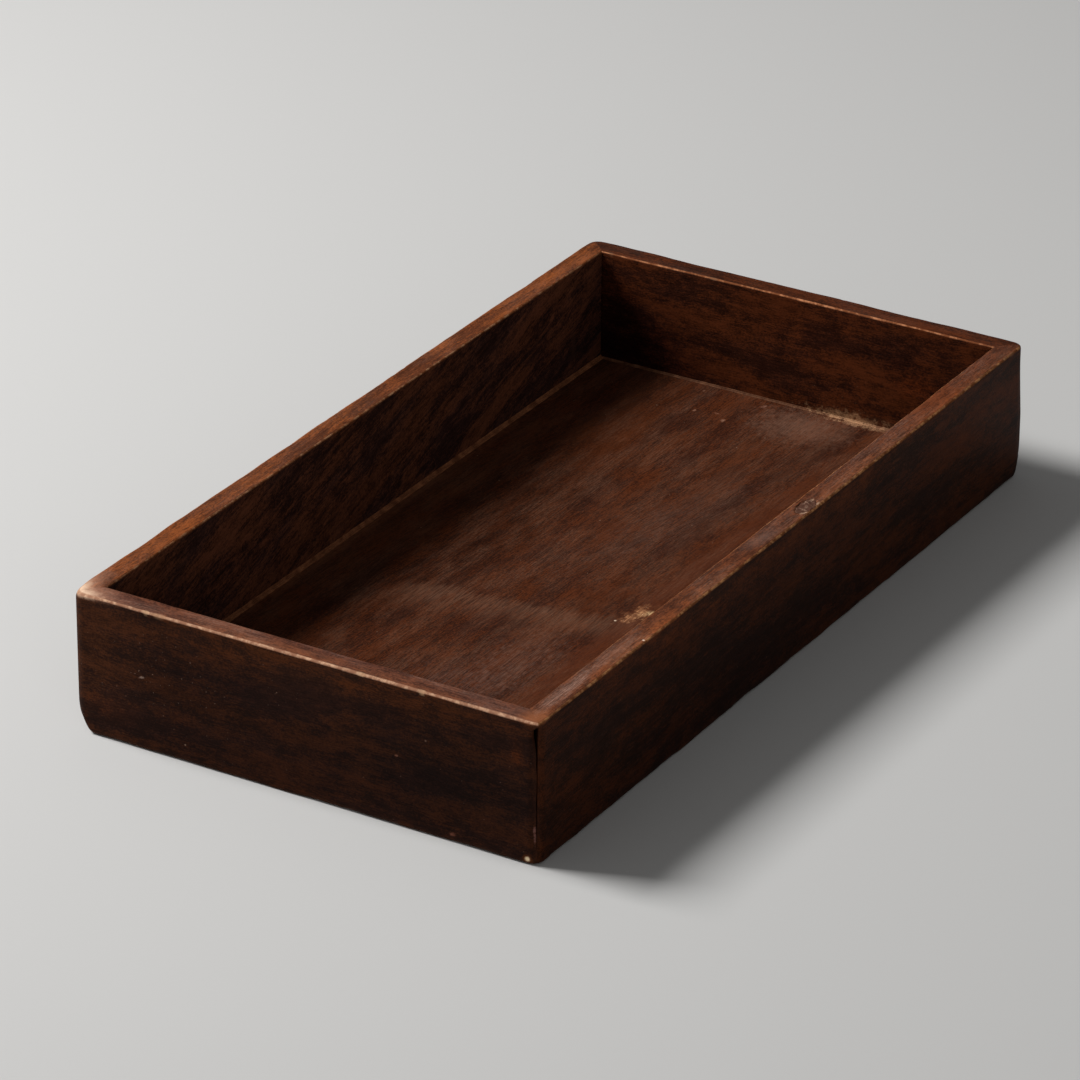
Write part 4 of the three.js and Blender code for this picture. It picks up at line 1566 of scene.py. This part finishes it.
WALL_FINISHES = (
    StainedWood(
        Side.NEAR_END, OUTSIDE, INSIDE, WoodTones((80, 46, 35), (98, 56, 38), darkest=0.6, lightest=1.5),
        # The outer rim line is part worn stain and part painted highlight, where the key lamp glints on the rounded
        # arris.
        (EdgeLine("rim_outer", 0.65, (164, 116, 90), (226, 180, 146), 0.85),
         EdgeLine("rim_inner", 0.3, (104, 62, 44), (130, 84, 60), 0.5), FOOT_LINE, UPRIGHT_LINE),
        flecks=0.55, streaks=0.2, dust=0.5,
        marks=(
            Tint((-200, 0, 56), (7, 130, 11), (150, 145, 115), 0.9, 1.0, 0.4),
            Tint((-200, 95, 30), (7, 38, 60), (150, 160, 165), 0.9, 1.0, 0.3),
            Tint((-200, -66, 28), (7, 76, 28), (50, 54, 62), 0.85, 1.0, 0.4),
            Tint((-200, 0, 12), (7, 170, 28), (74, 72, 76), 0.9, 1.0, 0.4),
            Tint((-200, 30, 38), (7, 60, 9), (78, 80, 95), 0.7, 1.0, 0.5),
            Tint((-200, 88, 14), (7, 20, 9), (150, 125, 90), 0.8, 1.0, 0.6),
            Tint((-200, -96, 47), (7, 4.5, 8), (210, 170, 110), 0.9, 1.0, 0.6),
            Speckle((-200, 66, 34), (7, 40, 26), (158, 128, 111), 0.8, 1.0, 0.8),
            Speckle((-200, 12, 40), (6, 7, 7), (150, 116, 98), 0.8, 1.0, 0.8),
            Speckle((-200, 77.5, 50), (6, 4, 7), (176, 150, 132), 0.95, 1.0, 0.6),
            Mark((-200, 73.7, 31.7), (2, 1.7, 0.7), (150, 124, 110), 0.8, 0.6, 0.9, turn=20.0, axis=X_AXIS),
            Mark((-200, -42.8, 30.3), (2, 1.0, 0.5), (140, 92, 74), 0.6, 0.6, 0.9),
            Mark((-200, -55.8, 40.3), (2, 0.6, 0.6), (130, 100, 84), 0.6, 0.6, 0.8),
            Mark((-200, -85, 26), (2, 0.8, 0.8), (12, 8, 7), 0.9, 0.6, 0.6),
            Mark((-200, 53.7, 7.7), (2, 0.5, 0.4), (150, 122, 104), 0.7, 0.6, 0.8),
            Mark((-199, -67.8, 3.5), (4, 2.2, 1.2), (150, 92, 72), 0.5, 0.8, 1.0),
            SEAM_SHADE, NEAR_TIP,
            Mark((-199.5, -103.4, 13), (2, 0.6, 6), (160, 112, 104), 0.5, 0.9, 1.8),
            Mark((-199.5, -100.7, 2.4), (4, 2.8, 2.6), (150, 84, 40), 0.6, 1.0, 0.3),
            Mark((-199.5, -100.7, 2.4), (4, 1.5, 1.4), (255, 228, 186), 0.95, 0.7, 0.4, turn=45.0, axis=X_AXIS),
            Mark((-199, 105, 61.2), (12, 26, 3.2), (206, 150, 122), 0.7, 1.0, 0.3),
            Mark((-200, 104, 61), (7, 14, 2.6), (246, 214, 182), 0.9, 1.0, 0.3),
        ),
    ),
    StainedWood(
        Side.RIGHT_SIDE, WoodTones(cool=(41, 21, 13), warm=(60, 28, 12), darkest=0.64, lightest=1.5), INSIDE,
        WoodTones((78, 42, 27), (98, 52, 29), darkest=0.55, lightest=1.6),
        (EdgeLine("rim_outer", 0.42, (124, 74, 42), (218, 154, 100), 0.8),
         EdgeLine("rim_inner", 0.4, (138, 80, 42), (214, 148, 96), 0.85), FOOT_LINE, UPRIGHT_LINE),
        lean=(0.0, 0.03, 0.0), streaks=0.3, flecks=0.45, dust=0.4,
        marks=(
            SEAM_SHADE, NEAR_TIP,
            Tint((-100, -105.5, 57), (120, 7, 12), (185, 172, 132), 0.9, 1.0, 0.4),
            Tint((60, -105.5, 56), (120, 7, 11), (165, 158, 125), 0.9, 1.0, 0.4),
            Tint((165, -105.5, 40), (64, 7, 40), (138, 116, 62), 0.9, 1.0, 0.4),
            Tint((-40, -105.5, 12), (170, 7, 24), (74, 74, 84), 0.8, 1.0, 0.4),
            Mark((-172, -100, 61), (34, 4, 2), (186, 146, 128), 0.75, 1.0, 0.6, 0.8),
            Mark((-135, -100, 61), (22, 3.5, 2), (160, 118, 98), 0.6, 1.0, 0.8, 0.8),
            Mark((-120.4, -104.4, 61), (0.6, 0.6, 1.2), (240, 214, 190), 0.9, 0.6, 0.5),
            Mark((-20, -100, 61), (18, 5, 2), (126, 102, 92), 0.5, 1.0, 0.5, 0.4),
            Tint((140, -100, 61), (70, 8, 2), (112, 96, 84), 0.7, 1.0, 0.6),
            Mark((9.2, -103.2, 61), (2.8, 1.7, 2), (226, 190, 158), 0.85, 0.9, 1.3, 0.4),
            Mark((20.4, -100.8, 61), (2.4, 1.2, 2), (206, 172, 142), 0.8, 0.9, 1.3, 0.5),
            Mark((19.0, -104.4, 61), (1.8, 0.8, 2), (226, 190, 158), 0.85, 0.9, 1.2, 0.5),
        ),
    ),
    StainedWood(
        Side.FAR_END, OUTSIDE, WoodTones(cool=(51, 25, 16), warm=(77, 37, 18), darkest=0.66, lightest=1.5),
        WoodTones((52, 26, 16), (80, 38, 18), darkest=0.6, lightest=1.5),
        (EdgeLine("rim_outer", 0.4, (70, 40, 26), (110, 70, 48), 0.5),
         EdgeLine("rim_inner", 0.4, (136, 80, 48), (216, 146, 102), 0.85), FOOT_LINE, UPRIGHT_LINE),
        inner_flecks=0.6, streaks=0.2, dust=0.12,
        marks=(
            # Painted shadow: the left wall's shadow and the shade of the back-left corner, darkened into the far
            # wall's inner face.
            Tint((190, 92, 8), (10, 84, 54), (25, 21, 32), 0.95, 0.9, 0.25),
            Tint((190, -48, 45), (10, 22, 12), (74, 76, 86), 0.8, 1.0, 0.6),
            Tint((190, -60, 33), (10, 16, 9), (135, 115, 95), 0.8, 1.0, 0.7),
            Mark((189, -40, 9), (7, 44, 8), (122, 86, 60), 0.45, 1.0, 0.8, 0.5),
            Mark((189.5, -28, 11.2), (3, 22, 3.2), (206, 158, 116), 0.7, 1.0, 1.6, 0.5),
            Speckle((189, -30, 16), (7, 50, 22), (130, 96, 74), 0.5, 1.0, 0.8),
        ),
    ),
    StainedWood(
        Side.LEFT_SIDE, OUTSIDE, WoodTones(cool=(61, 40, 35), warm=(97, 58, 40), darkest=0.5),
        WoodTones((92, 49, 28), (122, 65, 31), darkest=0.6, lightest=1.5),
        (EdgeLine("rim_outer", 0.6, (150, 100, 72), (206, 160, 128), 0.8),
         EdgeLine("rim_inner", 0.4, (130, 76, 44), (216, 160, 118), 0.8), FOOT_LINE, UPRIGHT_LINE),
        inner_lean=(0.0, -0.30, 0.0), inner_flecks=0.4, streaks=0.4, dust=0.2,
        marks=(
            # Painted shade: the dark back-left corner of the left wall's inner face.
            Tint((186, 95, 24), (34, 7, 40), (56, 56, 64), 0.9, 1.0, 0.3),
            Mark((166, 95.5, 27), (3, 2, 13), (90, 62, 48), 0.4, 1.0, 0.8),
            Mark((-196, 104, 61.2), (24, 10, 3), (206, 150, 122), 0.6, 1.0, 0.3),
            Mark((-199, 104, 61), (13, 6, 2.6), (246, 214, 182), 0.85, 1.0, 0.3),
        ),
    ),
)

FLOOR_FINISH = PanelWood(
    WoodTones(cool=(54, 26, 16), warm=(73, 34, 15), pore=(28, 14, 9), darkest=0.64, lightest=1.45),
    marks=(
        # Painted shade: the floor darkened in a band towards the left wall, beside the wall's shadow.
        Tint((20, 46, 10), (200, 34, 4), (52, 47, 37), 0.9, 1.0, 0.4),
        Mark((0, 86, 10), (215, 22, 4), (106, 68, 48), 0.34, 1.0, 0.6, 0.6),
        Mark((0, 93, 10), (205, 4, 4), (146, 92, 64), 0.4, 1.0, 0.8, 0.6),
        Mark((130, 52, 10), (50, 20, 4), (96, 46, 18), 0.5, 1.0, 0.5, 0.3, -10.0),
        Mark((174, -14, 10), (24, 32, 4), (140, 103, 84), 0.55, 1.0, 0.8, 0.4),
        Mark((188.6, -35, 10), (3.2, 22, 3), (216, 166, 124), 0.7, 1.0, 1.4, 0.6),
        Mark((164.3, 33.6, 10), (1.3, 0.8, 3), (170, 124, 100), 0.6, 0.8, 1.6, 0.5),
        Mark((166.5, 23.4, 10), (1.0, 2.0, 3), (156, 108, 86), 0.5, 0.8, 1.6, 0.5),
        Mark((161.5, 18.0, 10), (1.3, 1.1, 3), (180, 136, 112), 0.65, 0.8, 1.8, 0.6),
        Mark((183.0, 9.5, 10), (1.7, 1.4, 3), (168, 120, 100), 0.55, 0.8, 1.6, 0.5),
        Mark((183.9, 39.8, 10), (1.2, 0.8, 3), (150, 106, 84), 0.5, 0.8, 1.6, 0.5),
        Mark((-75, -22, 10), (46, 20, 4), (126, 94, 80), 0.5, 1.0, 1.0, 0.8),
        Mark((-110, -10, 10), (40, 34, 4), (116, 88, 78), 0.4, 1.0, 0.8, 0.9),
        Mark((60, -10, 10), (90, 26, 4), (112, 84, 72), 0.35, 1.0, 0.8, 0.9, 14.0),
        Mark((0, -43, 10), (230, 9, 4), (88, 43, 24), 0.55, 0.9, 0.4),
        Mark((-17, -42.5, 10.3), (15, 6, 3), (170, 112, 76), 0.5, 1.0, 1.2, 0.7, 20.0),
        Mark((-20, -41, 10.3), (6, 2.8, 3), (222, 160, 112), 0.75, 1.0, 1.7, 0.85),
        Mark((-15.5, -44.2, 10.3), (6, 2.8, 3), (238, 182, 128), 0.85, 1.0, 1.6, 0.8),
        Mark((-11, -41, 10.3), (5, 4.0, 3), (206, 144, 98), 0.7, 1.0, 1.8, 0.85),
        Mark((-12.5, -46.6, 10.3), (4.5, 2.4, 3), (252, 208, 150), 0.95, 1.0, 1.3, 0.6),
        Speckle((-17, -42.5, 10.3), (15, 8, 3), (246, 206, 164), 0.85, 0.8, 0.8),
        Mark((-25.6, -37.4, 10.3), (0.7, 0.7, 3), (250, 220, 190), 0.9, 0.6, 0.4),
        Mark((-57, 66, 10), (6, 0.5, 3), (20, 12, 9), 0.8, 0.8, 0.4, 0.0, 18.0),
        Mark((64, 71, 10), (6, 0.5, 3), (20, 12, 9), 0.8, 0.8, 0.4, 0.0, -12.0),
    ),
)


OLD_GLUE = GrittyPaste("old_glue", (92, 53, 35), (164, 108, 73), 5.0, (0.25, 0.8))
DARK_OLD_GLUE = GrittyPaste(
    "dark_old_glue", (62, 35, 24), (124, 84, 60), 5.0, (0.25, 0.8),
    marks=(
        Mark((189, -29, 10.5), (6, 21, 6), (206, 158, 118), 0.7, 1.0, 1.8),
        Mark((189, -46, 10.5), (6, 14, 6), (168, 124, 94), 0.5, 1.0, 1.4),
    ),
)
FILLER_PASTE = GrittyPaste("wood_filler", (88, 58, 46), (176, 142, 120), 1.8, (0.52, 0.74))
HIDDEN_WOOD = PlainWood("spline_wood", WoodTones((150, 112, 74), (176, 132, 86), (96, 66, 42), 0.7, 1.2))

BEAD_LEG = 1.2 * MM
BEAD_LEGS = {Side.LEFT_SIDE: 1.7 * MM, Side.FAR_END: 1.0 * MM}
LOOSE_CRUMBS = {Side.FAR_END: ((-60 * MM, 0.0, 170), (-60 * MM, 60 * MM, 90))}
LONG_KNOCKS, SHORT_KNOCKS = 22, 12


def near_end_bites(top: float) -> tuple[Bite, ...]:
    """The chips that show on the near end's board: along its rim, and one at its foot."""
    return (
        Bite((-65 * MM, 0.0, top), (4 * MM, 1.4 * MM, 1.2 * MM), 0.25 * MM, bare=0.35),
        Bite((-71 * MM, 0.0, top), (2 * MM, 1.2 * MM, 1.2 * MM), 0.25 * MM, bare=0.7),
        Bite((27 * MM, 0.0, top), (2 * MM, 1.4 * MM, 1.4 * MM), 0.25 * MM, bare=0.6),
        Bite((54 * MM, 0.0, top), (2 * MM, 1.4 * MM, 1.4 * MM), 0.25 * MM, bare=0.6),
        Bite((100.7 * MM, 0.8 * MM, 2.2 * MM), (1.6 * MM, 1.6 * MM, 1.5 * MM), 0.5 * MM, (0.0, 0.7, 0.7), 0.0),
    )


def main() -> None:
    """Builds the tray piece by piece and reports each one."""
    logging.basicConfig(level=logging.INFO, format="%(name)s: %(message)s")
    sizes = TraySizes.from_frame()
    log.info("sizes %s", sizes)
    Viewpoint().build()
    Studio().build()
    filler = RimFiller()
    bites = {Side.NEAR_END: near_end_bites(sizes.height), Side.RIGHT_SIDE: (filler.pocket(sizes.height),)}
    for wood in WALL_FINISHES:
        knocks = Knocks(LONG_KNOCKS if wood.side.is_long else SHORT_KNOCKS, 70 + wood.side.value)
        Board(wood.side, sizes, CORNERS, knocks, bites.get(wood.side, ())).build(wood.build())
    BasePanel().build(FLOOR_FINISH.build())
    glue, dark_glue = OLD_GLUE.build(), DARK_OLD_GLUE.build()
    for side in Side:
        bead = GlueBead(side, sizes, BEAD_LEGS.get(side, BEAD_LEG), spill=LOOSE_CRUMBS.get(side, ()))
        bead.build(dark_glue if side is Side.FAR_END else glue)
    filler.build(sizes, FILLER_PASTE.build())
    spline_wood = HIDDEN_WOOD.build()
    for corner in Corner:
        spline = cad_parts[f"{corner.name.lower()}_spline"]
        spline.data.materials.clear()
        spline.data.materials.append(spline_wood)
        log.info("%s: CAD node with finish spline_wood", spline.name)


if __name__ == "__main__":
    main()
